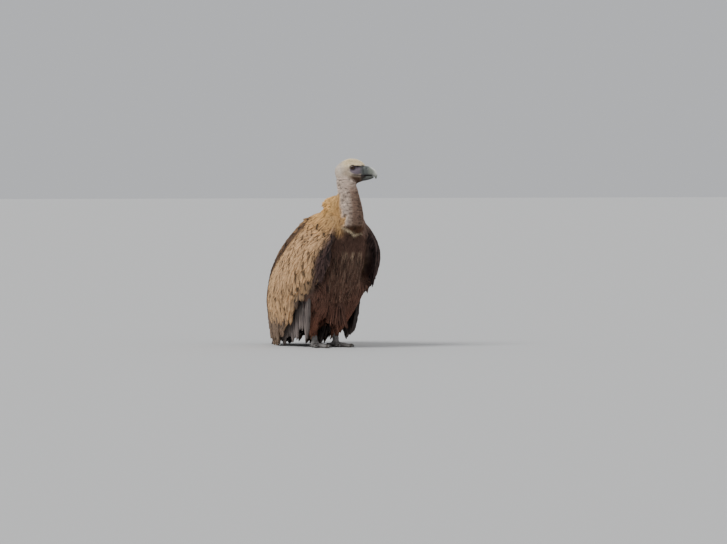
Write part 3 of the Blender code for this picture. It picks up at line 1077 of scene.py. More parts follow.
    def join_legs(self, skin: bpy.types.Object) -> None:
        """Adds the bare tarsi and feet, which rise out of the trousers.

        Args:
            skin: the skin, which takes them in.
        """
        legs = []
        for name, side in SIDES.items():
            shapes = [self.node_arrays([f"tarsus_{name}"])] + foot_shapes(side)
            leg = self.remeshed(shapes, self.leg_voxel)
            self.keep_outer(leg)
            ends = edge_ends(leg)
            points = fair(coordinates(leg), ends, 4)
            points[:, 2] = np.maximum(points[:, 2], 0.0)
            move_to(leg, points)
            bird = to_bird(points)
            count = len(points)
            sole = ease(0.6, 0.2, bird[:, 2])[:, None]
            grey = np.array(linear("8C8885")) * (1 - sole) + np.array(linear("5B5450")) * sole
            store(leg, "tint", "FLOAT_COLOR", grey)
            store(leg, "scutes", "FLOAT", np.ones(count))
            store(leg, "lie", "FLOAT_VECTOR", np.tile((0.0, 0.0, -1.0), (count, 1)))
            store(leg, "quill", "FLOAT_VECTOR", np.full((count, 3), 0.001))
            for mask in COATS:
                store(leg, f"mask_{mask.name}", "FLOAT", np.zeros(count))
            legs.append(show(f"leg_{name}", leg))
        bpy.ops.object.select_all(action="DESELECT")
        for obj in [skin, *legs]:
            obj.select_set(True)
        bpy.context.view_layer.objects.active = skin
        bpy.ops.object.join()
        skin.data.shade_smooth()

    def unwrap(self, skin: bpy.types.Object) -> None:
        """Unwraps the skin's own shape into the map that the coat's tufts share.

        Args:
            skin: the skin.
        """
        skin.data.uv_layers.new(name="OFBake")
        bpy.context.view_layer.objects.active = skin
        skin.select_set(True)
        bpy.ops.object.mode_set(mode="EDIT")
        bpy.ops.mesh.select_all(action="SELECT")
        bpy.ops.uv.smart_project(angle_limit=math.radians(66), island_margin=0.002)
        bpy.ops.object.mode_set(mode="OBJECT")

    def open_air(self, ends: np.ndarray, reach: float = 0.035) -> np.ndarray:
        """Finds where the skin lies open, and where a wing or flank covers it closely.

        Args:
            ends: the skin's edges.
            reach: how near a cover must be to hide the skin.

        Returns:
            1 on open skin and 0 on hidden skin, soft between.
        """
        points, outward = coordinates(self.data), normals(self.data)
        faces = [tuple(f.vertices) for f in self.data.polygons]
        tree = BVHTree.FromPolygons([tuple(p) for p in points], faces)
        starts = points + outward * 0.002
        is_open = [
            tree.ray_cast(Vector(p), Vector(n), reach)[0] is None for p, n in zip(starts, outward)
        ]
        return relax(np.array(is_open, dtype=float)[:, None], ends, 3)[:, 0]

    def paint(self) -> None:
        """Stores the coat's colour, lie, size and cover on the skin's vertices."""
        points, outward = coordinates(self.data), normals(self.data)
        ends = edge_ends(self.data)
        bird, local = to_bird(points), to_head(points)
        markings = Markings(bird, local, outward, self.weights, self.open_air(ends))
        lie = relax(markings.lie(), ends, 8)
        lie -= outward * np.sum(lie * outward, axis=1)[:, None]
        size = np.linalg.norm(lie, axis=1)
        back = world(0, -1, 0) - outward * (outward @ world(0, -1, 0))[:, None]
        lie += back * ease(0.35, 0.1, size)[:, None]
        lie /= np.maximum(np.linalg.norm(lie, axis=1), 1e-6)[:, None]
        store(self.data, "tint", "FLOAT_COLOR", relax(markings.tint(), ends, 1))
        store(self.data, "scutes", "FLOAT", np.zeros(len(points)))
        store(self.data, "lie", "FLOAT_VECTOR", lie)
        store(self.data, "quill", "FLOAT_VECTOR", relax(markings.quill() * MM, ends, 4))
        for coat in COATS:
            store(self.data, f"mask_{coat.name}", "FLOAT", markings.cover(coat))


@dataclass
class Markings:
    """Colour, lie, size and cover of the coat at every vertex of the skin."""

    bird: np.ndarray
    local: np.ndarray
    outward: np.ndarray
    weights: dict[Tract, np.ndarray]
    open_air: np.ndarray

    def flat(self, code: str) -> np.ndarray:
        """One colour for every vertex."""
        return np.tile(linear(code), (len(self.bird), 1))

    def blend(self, first: np.ndarray, code: str, share: np.ndarray) -> np.ndarray:
        """Mixes a colour over others by a share for each vertex."""
        share = np.clip(share, 0, 1)[:, None]
        return first * (1 - share) + np.array(linear(code)) * share

    def wing_span(self) -> tuple[np.ndarray, np.ndarray]:
        """Heights above the folded wing's hem: as a share of its depth, and in cm.

        Returns:
            The shares and the heights.
        """
        top = np.interp(self.bird[:, 1], WING_STATIONS, WING_TOPS)
        hem = np.interp(self.bird[:, 1], WING_STATIONS, WING_HEMS)
        above = self.bird[:, 2] - hem
        return np.clip(above / np.maximum(top - hem, 1.0), 0, 1), above

    def bare_face(self) -> np.ndarray:
        """Marks the naked skin of eye, lores and cere.

        Returns:
            1 on it, 0 away from it.
        """
        s, a, h = np.abs(self.local[:, 0]), self.local[:, 1], self.local[:, 2]
        away = np.sqrt(((a - 1.6) / 2.75) ** 2 + ((h + 0.8) / 1.6) ** 2)
        face = ease(1.12, 0.86, away)
        cere = ease(2.7, 3.1, a) * ease(1.1, 0.7, h)
        return np.maximum(face, cere) * ease(0.5, 1.0, s) * self.weights[Tract.HEAD]

    def crop_zone(self) -> np.ndarray:
        """Returns 1 on the smooth patch at the front below the neck."""
        l, f, z = self.bird.T
        return ease(7.4, 6.2, np.abs(l)) * ease(11.0, 13.0, f) * ease(34.2, 35.6, z)

    def crop_line(self) -> np.ndarray:
        """Returns the height in cm of the pale line under the crop, pulled up by the turned neck."""
        l = self.bird[:, 0]
        return 41.7 + np.where(l < 0, -0.6, 0.15) * l

    def lie(self) -> np.ndarray:
        """Combs the feathers, tract by tract.

        Returns:
            The direction they point in, before it is laid on the surface.
        """
        l, f, _ = self.bird.T
        count = len(l)
        head_back = np.array(HEAD)[:3, :3] @ np.array([0, -1.0, -0.4])
        head_back /= np.linalg.norm(head_back)
        away = np.column_stack([l, -(f - 13.0), np.zeros(count)])
        away /= np.maximum(np.linalg.norm(away, axis=1), 1e-6)[:, None]
        facing = np.sum(self.outward * away, axis=1)[:, None]
        over = away * self.outward[:, 2:3] - np.array([0, 0, 1.0]) * facing
        t, _ = self.wing_span()
        t = t[:, None]
        wing = t * world(0, -0.66, -0.75) + (1 - t) * world(0, -0.30, -0.95)
        fields = {
            Tract.HEAD: np.tile(head_back, (count, 1)),
            Tract.NECK: np.tile(world(0, -0.05, -1), (count, 1)),
            Tract.RUFF: over + world(0, -0.22, -0.42),
            Tract.TRUNK: np.tile(world(0, -0.1, -1), (count, 1)),
            Tract.BACK: np.tile(world(0, -0.72, -0.7), (count, 1)),
            Tract.WING: wing,
            Tract.THIGH: np.tile(world(0, -0.15, -1), (count, 1)),
        }
        return sum(self.weights[t][:, None] * fields[t] for t in Tract)

    def quill(self) -> np.ndarray:
        """Sizes the feathers, tract by tract.

        Returns:
            Length, width and lift at the tip, in mm.
        """
        l, f, z = self.bird.T
        t, _ = self.wing_span()
        low, rear = ease(0.75, 0.15, t), ease(8.0, -22.0, f)
        lead = ease(12.0, 16.0, f)
        wing = np.column_stack(
            [
                (48 + 38 * low + 16 * rear) * (1 - 0.4 * lead),
                (14.5 + 5 * low + 3 * rear) * (1 - 0.35 * lead),
                5.4 + 1.2 * low - 2.2 * lead,
            ]
        )
        down = ease(34.0, 16.0, z)
        belly = ease(21.0, 14.0, z)
        trunk = np.column_stack([46 + 22 * down + 14 * belly, 7.6 + 2 * down, 5.4 + 1.5 * down])
        ankle = ease(12.0, 4.0, z)
        flank = ease(8.0, 9.5, np.abs(l)) * ease(15.0, 17.0, z) * ease(3.0, 5.0, f)
        thigh = np.column_stack([54 - 30 * ankle, 10.5 - 3 * ankle, 6 - 2.5 * ankle])
        thigh = thigh - flank[:, None] * [30, 3, 3.5]
        crop = self.crop_zone()[:, None]
        brim = ease(2.6, 1.0, np.abs(z - self.crop_line() + 0.6))[:, None]
        trunk = trunk * (1 - crop) + crop * (np.array([16, 3.4, 2.4]) - brim * [8, 1.2, 1.0])
        neck = ease(45.4, 44.4, z)[:, None]
        crest = ease(0.1, 0.75, self.outward[:, 2])
        throat = ease(8.5, 12.5, f)
        ruff = np.column_stack([46 - 24 * crest - 22 * throat, 5.6 - 1.4 * throat, 2.6 - throat])
        crown = ease(0.8, 2.4, self.local[:, 2])
        head = np.column_stack([5.2 + 1.0 * crown, 1.3 + 0 * crown, 0.8 + 1.0 * crown])
        rear = ease(-16.0, -26.0, f)
        back = np.column_stack([64 - 24 * rear, 22 - 6 * rear, 5.5 - 1.5 * rear])
        fields = {
            Tract.HEAD: head,
            Tract.NECK: (1 - neck) * np.array([7.2, 2.0, 1.9]) + neck * np.array([13, 3.0, 2.4]),
            Tract.RUFF: ruff,
            Tract.TRUNK: trunk,
            Tract.BACK: back,
            Tract.WING: wing,
            Tract.THIGH: thigh,
        }
        return sum(self.weights[t][:, None] * fields[t] for t in Tract)

    def head_tint(self) -> np.ndarray:
        """Colours the head: cream crown, mauve face, a painted shadow under the brow, slate cere,
        brown throat.

        Returns:
            Rows of linear light.
        """
        s, a, h = np.abs(self.local[:, 0]), self.local[:, 1], self.local[:, 2]
        bare = self.bare_face()
        tint = self.blend(self.flat("FCE9C2"), "BDAB96", ease(1.8, -0.8, h))
        tint = self.blend(tint, "DCCDBC", ease(-2.5, -5.0, a))
        tint = self.blend(tint, "5C4536", ease(-2.6, -3.5, h + 0.12 * a) * ease(-2.2, 0.0, a))
        tint = self.blend(tint, "695E66", bare)
        # Painted shadow: a dark band under the brow ridge, over the eye and forward to the lores.
        brow = np.exp(-(((a - 1.1) / 2.3) ** 2) - ((h - 0.6) / 0.55) ** 2)
        tint = self.blend(tint, "231A1C", 1.4 * brow * (s > 0.8) * ease(0.1, 0.5, bare))
        ring = np.exp(-(((np.hypot(a, h) - 0.85) / 0.3) ** 2)) * (s > 1.5)
        tint = self.blend(tint, "3A3036", ring * 0.9)
        cere = ease(1.9, 3.5, a) * ease(1.0, 0.6, h) * bare
        tint = self.blend(tint, "4C4F4D", cere)
        tint = self.blend(tint, "3A332C", ease(2.0, 3.2, a) * ease(-2.5, -3.0, h))
        gape = np.exp(-(((h + 2.75 + 0.08 * (a - 2)) / 0.3) ** 2)) * ease(-0.6, 0.6, a)
        return self.blend(tint, "2C2226", gape * 0.85)

    def tint(self) -> np.ndarray:
        """Colours the coat, the same on skin and feathers.

        Returns:
            Rows of linear light.
        """
        l, f, z = self.bird.T
        side = np.abs(l)
        ahead = -self.outward[:, 1]
        front = ease(0.1, 0.8, ahead + 0.35 * self.outward[:, 0])
        neck = self.blend(self.flat("D6C2B2"), "967C6C", front * ease(62.0, 56.0, z))
        neck = self.blend(neck, "DDD0C2", ease(0.2, 0.8, -ahead) * 0.7)
        neck = self.blend(neck, "523828", ease(45.6, 44.6, z))
        ruff = self.blend(self.flat("C79A64"), "E9B772", ease(46.0, 51.0, z))
        # The ruff's front is browner, its own colour, and is drawn darker on the bird's left than on
        # its right: painted shade on the side away from the key light.
        ruff = self.blend(ruff, "8A7062", ease(9.0, 12.5, f) * ease(-1.0, 4.0, l))
        ruff = self.blend(ruff, "B08E62", ease(7.5, 13.0, f) * ease(0.0, -3.0, l) * 0.6)
        line = self.crop_line()
        trunk = self.blend(self.flat("4D382E"), "593D32", ease(34.0, 16.0, z))
        trunk = self.blend(trunk, "5A4339", self.crop_zone())
        trunk = self.blend(trunk, "523828", ease(0.0, 0.8, z - line) * ease(6.5, 5.5, side))
        pale = ease(0.5, 0.3, np.abs(z - line)) * ease(5.2, 4.2, side) * (f > 10)
        pale *= 1 - 0.55 * ease(0.5, 3.0, l)
        wisps = ease(0.9, 0.3, np.abs(z - 35.3)) * ease(6.0, 4.5, side) * (f > 12)
        wisps *= ease(0.2, 0.8, np.sin(l * 3.1) * np.sin(l * 1.3 + 1))
        strands = ease(0.5, 0.95, np.sin(l * 2.9 + 1.1 * np.sin(z * 0.3)))
        strands *= ease(36.0, 34.0, z) * ease(14.0, 22.0, z) * (f > 9)
        trunk = self.blend(trunk, "8F7765", strands * 0.5)
        t, above = self.wing_span()
        wing = self.blend(self.flat("CDA479"), "C49762", ease(0.75, 0.95, t))
        hem = ease(9.0, 5.5, above) * ease(-5.0, 2.0, f)
        wing = self.blend(wing, "9A8165", hem * 0.7)
        bars = ease(0.0, 0.6, np.sin(f * 2.1 - 0.35 * above))
        wing = self.blend(wing, "4E4340", hem * bars * 0.9)
        wing = self.blend(wing, "D0A878", ease(-4.0, -20.0, f) * 0.5)
        # Painted shadow: a dark strip along the wing's top edge, where it meets the back.
        wing = self.blend(wing, "3F2B22", ease(0.80, 0.90, t) * ease(7.0, 2.0, f) * 0.9)
        wing = self.blend(wing, "4A352A", ease(-17.5, -21.0, f) * ease(14.0, 19.0, z) * 0.85)
        wing = self.blend(wing, "4A3B31", ease(2.2, 0.8, above))
        sooty = ease(17.5, 14.0, z + 0.1 * f) * ease(-2.0, -8.0, f)
        wing = self.blend(wing, "75655A", sooty * 0.85)
        # The wing's forward-facing front is darkened: partly its dark brown marginal coverts, partly
        # painted shade, reaching further round low on the wing and on the bird's left, away from the
        # key light.
        margin_and_shade_start = 0.70 - 0.22 * ease(42.0, 30.0, z) - 0.22 * ease(0.0, 3.0, l)
        lead = ease(margin_and_shade_start - 0.22, margin_and_shade_start + 0.12, ahead) * ease(7.0, 11.0, f)
        wing = self.blend(wing, "4C3935", lead)
        # Painted shade: the wing's inner side, facing the body, is darkened as the shade between wing
        # and body.
        inner = ease(0.1, 0.5, -np.sign(l) * self.outward[:, 0])
        wing = self.blend(wing, "3B2C2B", inner * ease(0.95, 0.8, t))
        back = self.blend(self.flat("B98F60"), "8F6D4D", ease(-2.0, -12.0, f))
        back = self.blend(back, "54402F", ease(-16.0, -27.0, f))
        # Painted shade: the back is darker at its sides, where it meets the wings.
        back = self.blend(back, "44332A", ease(4.4, 6.2, side) * 0.8)
        thigh = self.blend(self.flat("5D4136"), "714B3C", ease(20.0, 10.0, z))
        thigh = self.blend(thigh, "94745A", ease(8.0, 4.5, z))
        fields = {
            Tract.HEAD: self.head_tint(),
            Tract.NECK: neck,
            Tract.RUFF: ruff,
            Tract.TRUNK: trunk,
            Tract.BACK: back,
            Tract.WING: wing,
            Tract.THIGH: thigh,
        }
        mixed = sum(self.weights[t][:, None] * fields[t] for t in Tract)
        crop = (self.weights[Tract.TRUNK] + self.weights[Tract.NECK]).clip(0, 1)
        mixed = self.blend(mixed, "D6C4A4", pale * crop)
        return self.blend(mixed, "B79E84", wisps * crop * 0.9)

    def cover(self, coat: "Coat") -> np.ndarray:
        """How thickly a coat grows at each vertex, 0 to 1.

        Args:
            coat: which coat.

        Returns:
            One number for each vertex.
        """
        l, f, z = self.bird.T
        w = self.weights
        _, above = self.wing_span()
        length = self.quill()[:, 0] / 10
        lean = self.outward[:, 2] - 0.3 * ease(4.0, 8.0, f) * ease(34.0, 28.0, z)
        upward = ease(-0.75, -0.35, lean)
        hidden = ease(0.35, 0.05, -np.sign(l) * self.outward[:, 0])
        is_open = ease(0.45, 0.75, self.open_air)
        beside = np.abs(l) + 1.4 * ease(26.0, 22.0, z) * ease(6.0, 3.5, f)
        inner = is_open * ease(12.8, 12.0, beside)
        inner *= ease(0.6, 0.3, w[Tract.WING])
        inner *= 1 - ease(-0.3, -0.6, self.outward[:, 2]) * ease(8.0, 9.5, np.abs(l))
        wing = w[Tract.WING] * upward * np.maximum(hidden, ease(12.0, 14.0, f)) * is_open
        start = 0.22 + 0.24 * ease(-4.0, 3.0, f)
        wing = wing * ease(start, start + 0.22, above / length)
        wing = wing * np.maximum(ease(0.5, 0.85, w[Tract.WING]), f < 4.0)
        wing = wing * (1 - ease(6.0, 8.0, f) * ease(25.5, 24.5, z) * ease(-0.1, -0.3, lean + 0.3))
        front = (w[Tract.TRUNK] + w[Tract.NECK]).clip(0, 1) * self.crop_zone()
        fringe = ease(4.3, 3.9, self.local[:, 1] + 1.6 * ease(0.0, -3.0, self.local[:, 2]))
        covers = {
            "head_down": w[Tract.HEAD] * (1 - self.bare_face()) * fringe,
            "neck_down": w[Tract.NECK] * ease(44.4, 45.2, z),
            "crop_hair": np.maximum(front, w[Tract.NECK] * (z < 45.2)) * ease(46.0, 45.2, z),
            "ruff_plumes": w[Tract.RUFF],
            "breast_plumes": w[Tract.TRUNK] * (1 - ease(0.3, 1.0, self.crop_zone())) * inner,
            "trouser_plumes": w[Tract.THIGH] * ease(3.4, 5.0, z) * inner,
            "mantle_feathers": w[Tract.BACK] * ease(16.0, 19.0, z) * upward * is_open,
            "coverts_right": wing * (l < 0),
            "coverts_left": wing * (l >= 0),
        }
        return covers[coat.name]


class Vane(Enum):
    """The kinds of feather outline."""

    TUFT = "tuft"
    PLUME = "plume"
    COVERT = "covert"
    QUILL = "quill"


@dataclass(frozen=True)
class VaneShape:
    """A feather one unit long and one wide, root at the origin, pointing along +Y."""

    kind: Vane
    segments: int
    swell_at: float
    point: float
    camber: float
    thick: float
    curl: float = 0.0
    variants: int = 3

    def half_width(self, y: float) -> float:
        """Half the vane's width at a share of its length.

        Args:
            y: the share, from the root.

        Returns:
            The half-width, where the whole vane is one wide.
        """
        if y < self.swell_at:
            return 0.5 * (0.12 + 0.88 * math.sin(y / self.swell_at * math.pi / 2) ** 0.8)
        beyond = (y - self.swell_at) / (1 - self.swell_at)
        return 0.5 * max(1 - beyond**self.point, 0.0) ** (1 / 1.7)

    def section(self, half: float) -> list[tuple[float, float]]:
        """The closed outline across the vane, as (across share, height) pairs.

        Args:
            half: the half-width here, which the thickness follows.

        Returns:
            Points in order round the section.
        """
        t = self.thick * (0.35 + 0.65 * half / 0.5)
        if self.kind is Vane.TUFT:
            return [(-1, -self.camber), (0, t), (1, -self.camber)]
        if self.kind is Vane.PLUME:
            return [(-1, -self.camber), (0, t), (1, -self.camber), (0, -t * 0.4)]
        edge, mid = -self.camber, -self.camber * 0.3 + t * 0.5
        return [(-1, edge), (-0.5, mid), (0, t), (0.5, mid), (1, edge), (0, -t)]

    def build(self, seed: int) -> bpy.types.Object:
        """Builds one variant of the feather, with its vane attribute.

        Args:
            seed: which variant.

        Returns:
            The template object.
        """
        chance = np.random.default_rng(seed)
        stations = [(i / self.segments) ** 0.9 for i in range(self.segments + 1)]
        points, marks, faces = [], [], []
        for y in stations:
            half = max(self.half_width(y), 0.03)
            ragged = 1 + chance.uniform(-0.14, 0.10) * (y > 0.3)
            drop = -self.curl * y * y
            for x, z in self.section(half):
                shift = chance.uniform(-0.02, 0.02) * (abs(x) == 1)
                points.append((x * half * ragged, y + shift, z + drop))
                marks.append((x * min(half * 2 + 0.15, 1.0), y, z + drop))
        ring = len(self.section(0.5))
        for i in range(self.segments):
            for k in range(ring):
                n = (k + 1) % ring
                faces.append((i * ring + k, i * ring + n, (i + 1) * ring + n, (i + 1) * ring + k))
        faces.append(tuple(range(ring)))
        faces.append(tuple(self.segments * ring + k for k in range(ring)))
        data = bpy.data.meshes.new(f"{self.kind.value}_{seed}")
        data.from_pydata(points, [], faces)
        store(data, "vane", "FLOAT_VECTOR", np.array(marks))
        turn = bmesh.new()
        turn.from_mesh(data)
        bmesh.ops.recalc_face_normals(turn, faces=turn.faces)
        turn.to_mesh(data)
        turn.free()
        data.shade_smooth()
        return bpy.data.objects.new(data.name, data)


VANE_SHAPES = (
    VaneShape(Vane.TUFT, 2, swell_at=0.35, point=1.3, camber=0.10, thick=0.26, variants=2),
    VaneShape(Vane.PLUME, 5, swell_at=0.38, point=1.25, camber=0.16, thick=0.04),
    VaneShape(Vane.COVERT, 6, swell_at=0.50, point=2.0, camber=0.13, thick=0.045, variants=4),
    VaneShape(Vane.QUILL, 12, swell_at=0.55, point=3.4, camber=0.12, thick=0.03, curl=0.02),
)
VANES = {shape.kind: shape for shape in VANE_SHAPES}


@dataclass(frozen=True)
class Coat:
    """One layer of like feathers: their outline, spacing, finish, record slot and stray."""

    name: str
    vane: Vane
    spacing_mm: float
    finish: FeatherFinish
    slot: str
    seed: int
    stray: float = 0.14


# Down so short that it lies like velvet: hardly any gap shows between its tufts, and little shade is
# painted at their roots.
VELVET = FeatherFinish(
    "velvet_head_down",
    rim_light=0.1,
    centre_dark=0.02,
    shaft_light=0.05,
    root_shade=0.12,
    vary=0.2,
    reach_mm=8.0,
    barb_mm=4.0,
    patch_mm=6.0,
    stretch=1.5,
    gap_shade=0.1,
)
# Down matted by feeding, in pale clumps, with painted shade at their roots and in the gaps between
# them, where the darker hide lies.
DOWN = FeatherFinish(
    "matted_neck_down",
    rim_light=0.12,
    centre_dark=0.05,
    shaft_light=0.08,
    root_shade=0.4,
    vary=0.5,
    reach_mm=8.0,
    barb_mm=4.0,
    patch_mm=15.0,
    stretch=2.2,
    gap_shade=0.3,
    patch_light=1.8,
)
# Long loose plumes with soft edges, bright where the light comes through.
RUFF = FeatherFinish(
    "loose_ruff_plume",
    rim_light=0.2,
    centre_dark=0.2,
    shaft_light=0.1,
    root_shade=0.45,
    vary=0.6,
    reach_mm=46.0,
    gap_shade=0.3,
)
# Pointed body plumes, each with a pale line along its shaft.
PLUME = FeatherFinish(
    "rufous_lanceolate_plume",
    rim_light=0.3,
    centre_dark=0.1,
    shaft_light=1.35,
    root_shade=0.4,
    vary=0.6,
    reach_mm=50.0,
)
# Firm rounded vanes with a dull centre, a bleached rim, and strong painted shade at their roots and in
# the gaps between them.
COVERT = FeatherFinish(
    "tan_contour_vane",
    rim_light=0.32,
    centre_dark=0.34,
    shaft_light=-0.2,
    root_shade=0.7,
    vary=0.5,
    reach_mm=70.0,
    patch_mm=13.0,
    stretch=0.12,
    gap_shade=1.2,
    patch_light=0.5,
    floor=0.2,
)
# Stiff slate vanes with a paler worn edge and a hard pale shaft, a little glossier.
QUILL = FeatherFinish(
    "slate_flight_vane",
    rim_light=0.8,
    centre_dark=0.1,
    shaft_light=1.3,
    root_shade=0.2,
    vary=0.4,
    reach_mm=160.0,
    roughness=0.6,
)

COATS = (
    Coat("head_down", Vane.TUFT, 1.3, VELVET, "head_down", 11),
    Coat("neck_down", Vane.TUFT, 1.7, DOWN, "head_down", 12),
    Coat("crop_hair", Vane.TUFT, 2.2, PLUME, "body_plumage", 13),
    Coat("ruff_plumes", Vane.PLUME, 2.5, RUFF, "ruff_plumage", 14, stray=0.28),
    Coat("breast_plumes", Vane.PLUME, 5.0, PLUME, "body_plumage", 15),
    Coat("trouser_plumes", Vane.PLUME, 4.8, PLUME, "body_plumage", 16),
    Coat("mantle_feathers", Vane.COVERT, 8.5, COVERT, "covert_plumage", 17),
    Coat("coverts_right", Vane.COVERT, 7.8, COVERT, "covert_plumage", 18),
    Coat("coverts_left", Vane.COVERT, 7.8, COVERT, "covert_plumage", 19),
)


@dataclass
class Plumage:
    """Lays feathers over the skin, or at given roots, with one Geometry Nodes tree."""

    skin: bpy.types.Object
    patch: float = 0.003
    templates: dict[Vane, bpy.types.Collection] = field(default_factory=dict)
    finishes: dict[str, bpy.types.Material] = field(default_factory=dict)

    def template(self, kind: Vane) -> bpy.types.Collection:
        """Makes a feather's variants once.

        Args:
            kind: the feather's outline.

        Returns:
            The collection that holds them.
        """
        if kind not in self.templates:
            group = bpy.data.collections.new(f"templates_{kind.value}")
            for seed in range(VANES[kind].variants):
                group.objects.link(VANES[kind].build(seed))
            self.templates[kind] = group
        return self.templates[kind]

    def material(self, finish: FeatherFinish) -> bpy.types.Material:
        """Makes a finish's material once, and hands it out again after that.

        Args:
            finish: the finish.

        Returns:
            Its material.
        """
        if finish.name not in self.finishes:
            self.finishes[finish.name] = finish.build()
        return self.finishes[finish.name]

    def tree(self, mask: str | None) -> bpy.types.NodeTree:
        """Builds the tree that lays feathers.

        Args:
            mask: attribute that says where they are scattered, or None to use given roots.

        Returns:
            The node tree.
        """
        tree = bpy.data.node_groups.new("lay_feathers", "GeometryNodeTree")
        for name, kind in (
            ("Geometry", "Geometry"),
            ("Skin", "Object"),
            ("Feathers", "Collection"),
            ("Finish", "Material"),
            ("Spacing", "Float"),
            ("Seed", "Int"),
            ("Patch", "Float"),
            ("Yaw", "Float"),
        ):
            tree.interface.new_socket(name, in_out="INPUT", socket_type=f"NodeSocket{kind}")
        tree.interface.new_socket("Geometry", in_out="OUTPUT", socket_type="NodeSocketGeometry")
        given = tree.nodes.new("NodeGroupInput")
        stored = {
            name: out(
                add(tree, "GeometryNodeInputNamedAttribute", {"Name": name}, data_type=kind),
                "Attribute",
            )
            for name, kind in (
                ("lie", "FLOAT_VECTOR"),
                ("out", "FLOAT_VECTOR"),
                ("quill", "FLOAT_VECTOR"),
                ("vane", "FLOAT_VECTOR"),
                ("OFBake" if mask else "root_uv", "FLOAT_VECTOR"),
                ("chance", "FLOAT"),
                (mask or "chance", "FLOAT"),
            )
        }
        rolls = []
        for offset, (low, high) in enumerate(((0.84, 1.16), (0.0, 1.0), (-1.0, 1.0))):
            seed = add(
                tree, "ShaderNodeMath", {0: out(given, "Seed"), 1: offset + 1.0}, operation="ADD"
            )
            rolls.append(
                add(
                    tree,
                    "FunctionNodeRandomValue",
                    {"Min": low, "Max": high, "Seed": seed},
                    data_type="FLOAT",
                )
            )
        if mask:
            points = self.scattered(tree, given, stored[mask])
        else:
            points = add(tree, "GeometryNodeMeshToPoints", {"Mesh": out(given, "Geometry")})
        grown = add(
            tree, "ShaderNodeVectorMath", {0: stored["quill"], "Scale": rolls[0]}, operation="SCALE"
        )
        for name, value, kind in (("quill", grown, "FLOAT_VECTOR"), ("chance", rolls[1], "FLOAT")):
            points = add(
                tree,
                "GeometryNodeStoreNamedAttribute",
                {"Geometry": points, "Name": name, "Value": value},
                data_type=kind,
                domain="POINT",
            )
        across = add(
            tree,
            "ShaderNodeVectorMath",
            {0: stored["out"], 1: stored["lie"]},
            operation="CROSS_PRODUCT",
        )
        yaw = add(
            tree, "ShaderNodeMath", {0: rolls[2], 1: out(given, "Yaw")}, operation="MULTIPLY"
        )
        aside = add(tree, "ShaderNodeVectorMath", {0: across, "Scale": yaw}, operation="SCALE")
        heading = add(
            tree, "ShaderNodeVectorMath", {0: stored["lie"], 1: aside}, operation="ADD"
        )
        turn = add(
            tree,
            "FunctionNodeAxesToRotation",
            {0: heading, 1: stored["out"]},
            primary_axis="Y",
            secondary_axis="Z",
        )
        sizes = add(tree, "ShaderNodeSeparateXYZ", {0: stored["quill"]})
        width = out(sizes, "Y")
        scale = add(tree, "ShaderNodeCombineXYZ", {0: width, 1: out(sizes, "X"), 2: width})
        feathers = add(
            tree,
            "GeometryNodeCollectionInfo",
            {
                "Collection": out(given, "Feathers"),
                "Separate Children": True,
                "Reset Children": True,
            },
        )
        pick = add(
            tree,
            "FunctionNodeRandomValue",
            {"Min": 0, "Max": 11, "Seed": out(given, "Seed")},
            data_type="INT",
        )
        laid = add(
            tree,
            "GeometryNodeInstanceOnPoints",
            {
                "Points": points,
                "Instance": feathers,
                "Pick Instance": True,
                "Instance Index": pick,
                "Rotation": turn,
                "Scale": scale,
            },
        )
        shape = add(tree, "GeometryNodeRealizeInstances", {"Geometry": laid})
        vane = add(tree, "ShaderNodeSeparateXYZ", {0: stored["vane"]})
        if mask:
            shape = self.settled(tree, given, stored, vane, shape)
        spot = add(tree, "ShaderNodeSeparateXYZ", {0: add(tree, "GeometryNodeInputPosition")})
        above = add(tree, "ShaderNodeMath", {0: out(spot, "Z"), 1: FLOOR_GAP}, operation="MAXIMUM")
        lifted = add(
            tree, "ShaderNodeCombineXYZ", {0: out(spot, "X"), 1: out(spot, "Y"), 2: above}
        )
        shape = add(tree, "GeometryNodeSetPosition", {"Geometry": shape, "Position": lifted})
        flat = add(tree, "ShaderNodeCombineXYZ", {0: out(vane, "X"), 1: out(vane, "Y")})
        half = add(tree, "ShaderNodeMath", {0: out(given, "Patch"), 1: 0.5}, operation="MULTIPLY")
        step = add(tree, "ShaderNodeVectorMath", {0: flat, "Scale": half}, operation="SCALE")
        root = stored["OFBake" if mask else "root_uv"]
        spot = add(tree, "ShaderNodeVectorMath", {0: root, 1: step}, operation="ADD")
        marks = add(
            tree,
            "ShaderNodeCombineXYZ",
            {0: out(vane, "X"), 1: out(vane, "Y"), 2: stored["chance"]},
        )
        for name, value in (("bake_spot", spot), ("vane", marks)):
            shape = add(
                tree,
                "GeometryNodeStoreNamedAttribute",
                {"Geometry": shape, "Name": name, "Value": value},
                data_type="FLOAT_VECTOR",
                domain="POINT",
            )
        dressed = add(
            tree, "GeometryNodeSetMaterial", {"Geometry": shape, "Material": out(given, "Finish")}
        )
        add(tree, "NodeGroupOutput", {0: dressed})
        return tree

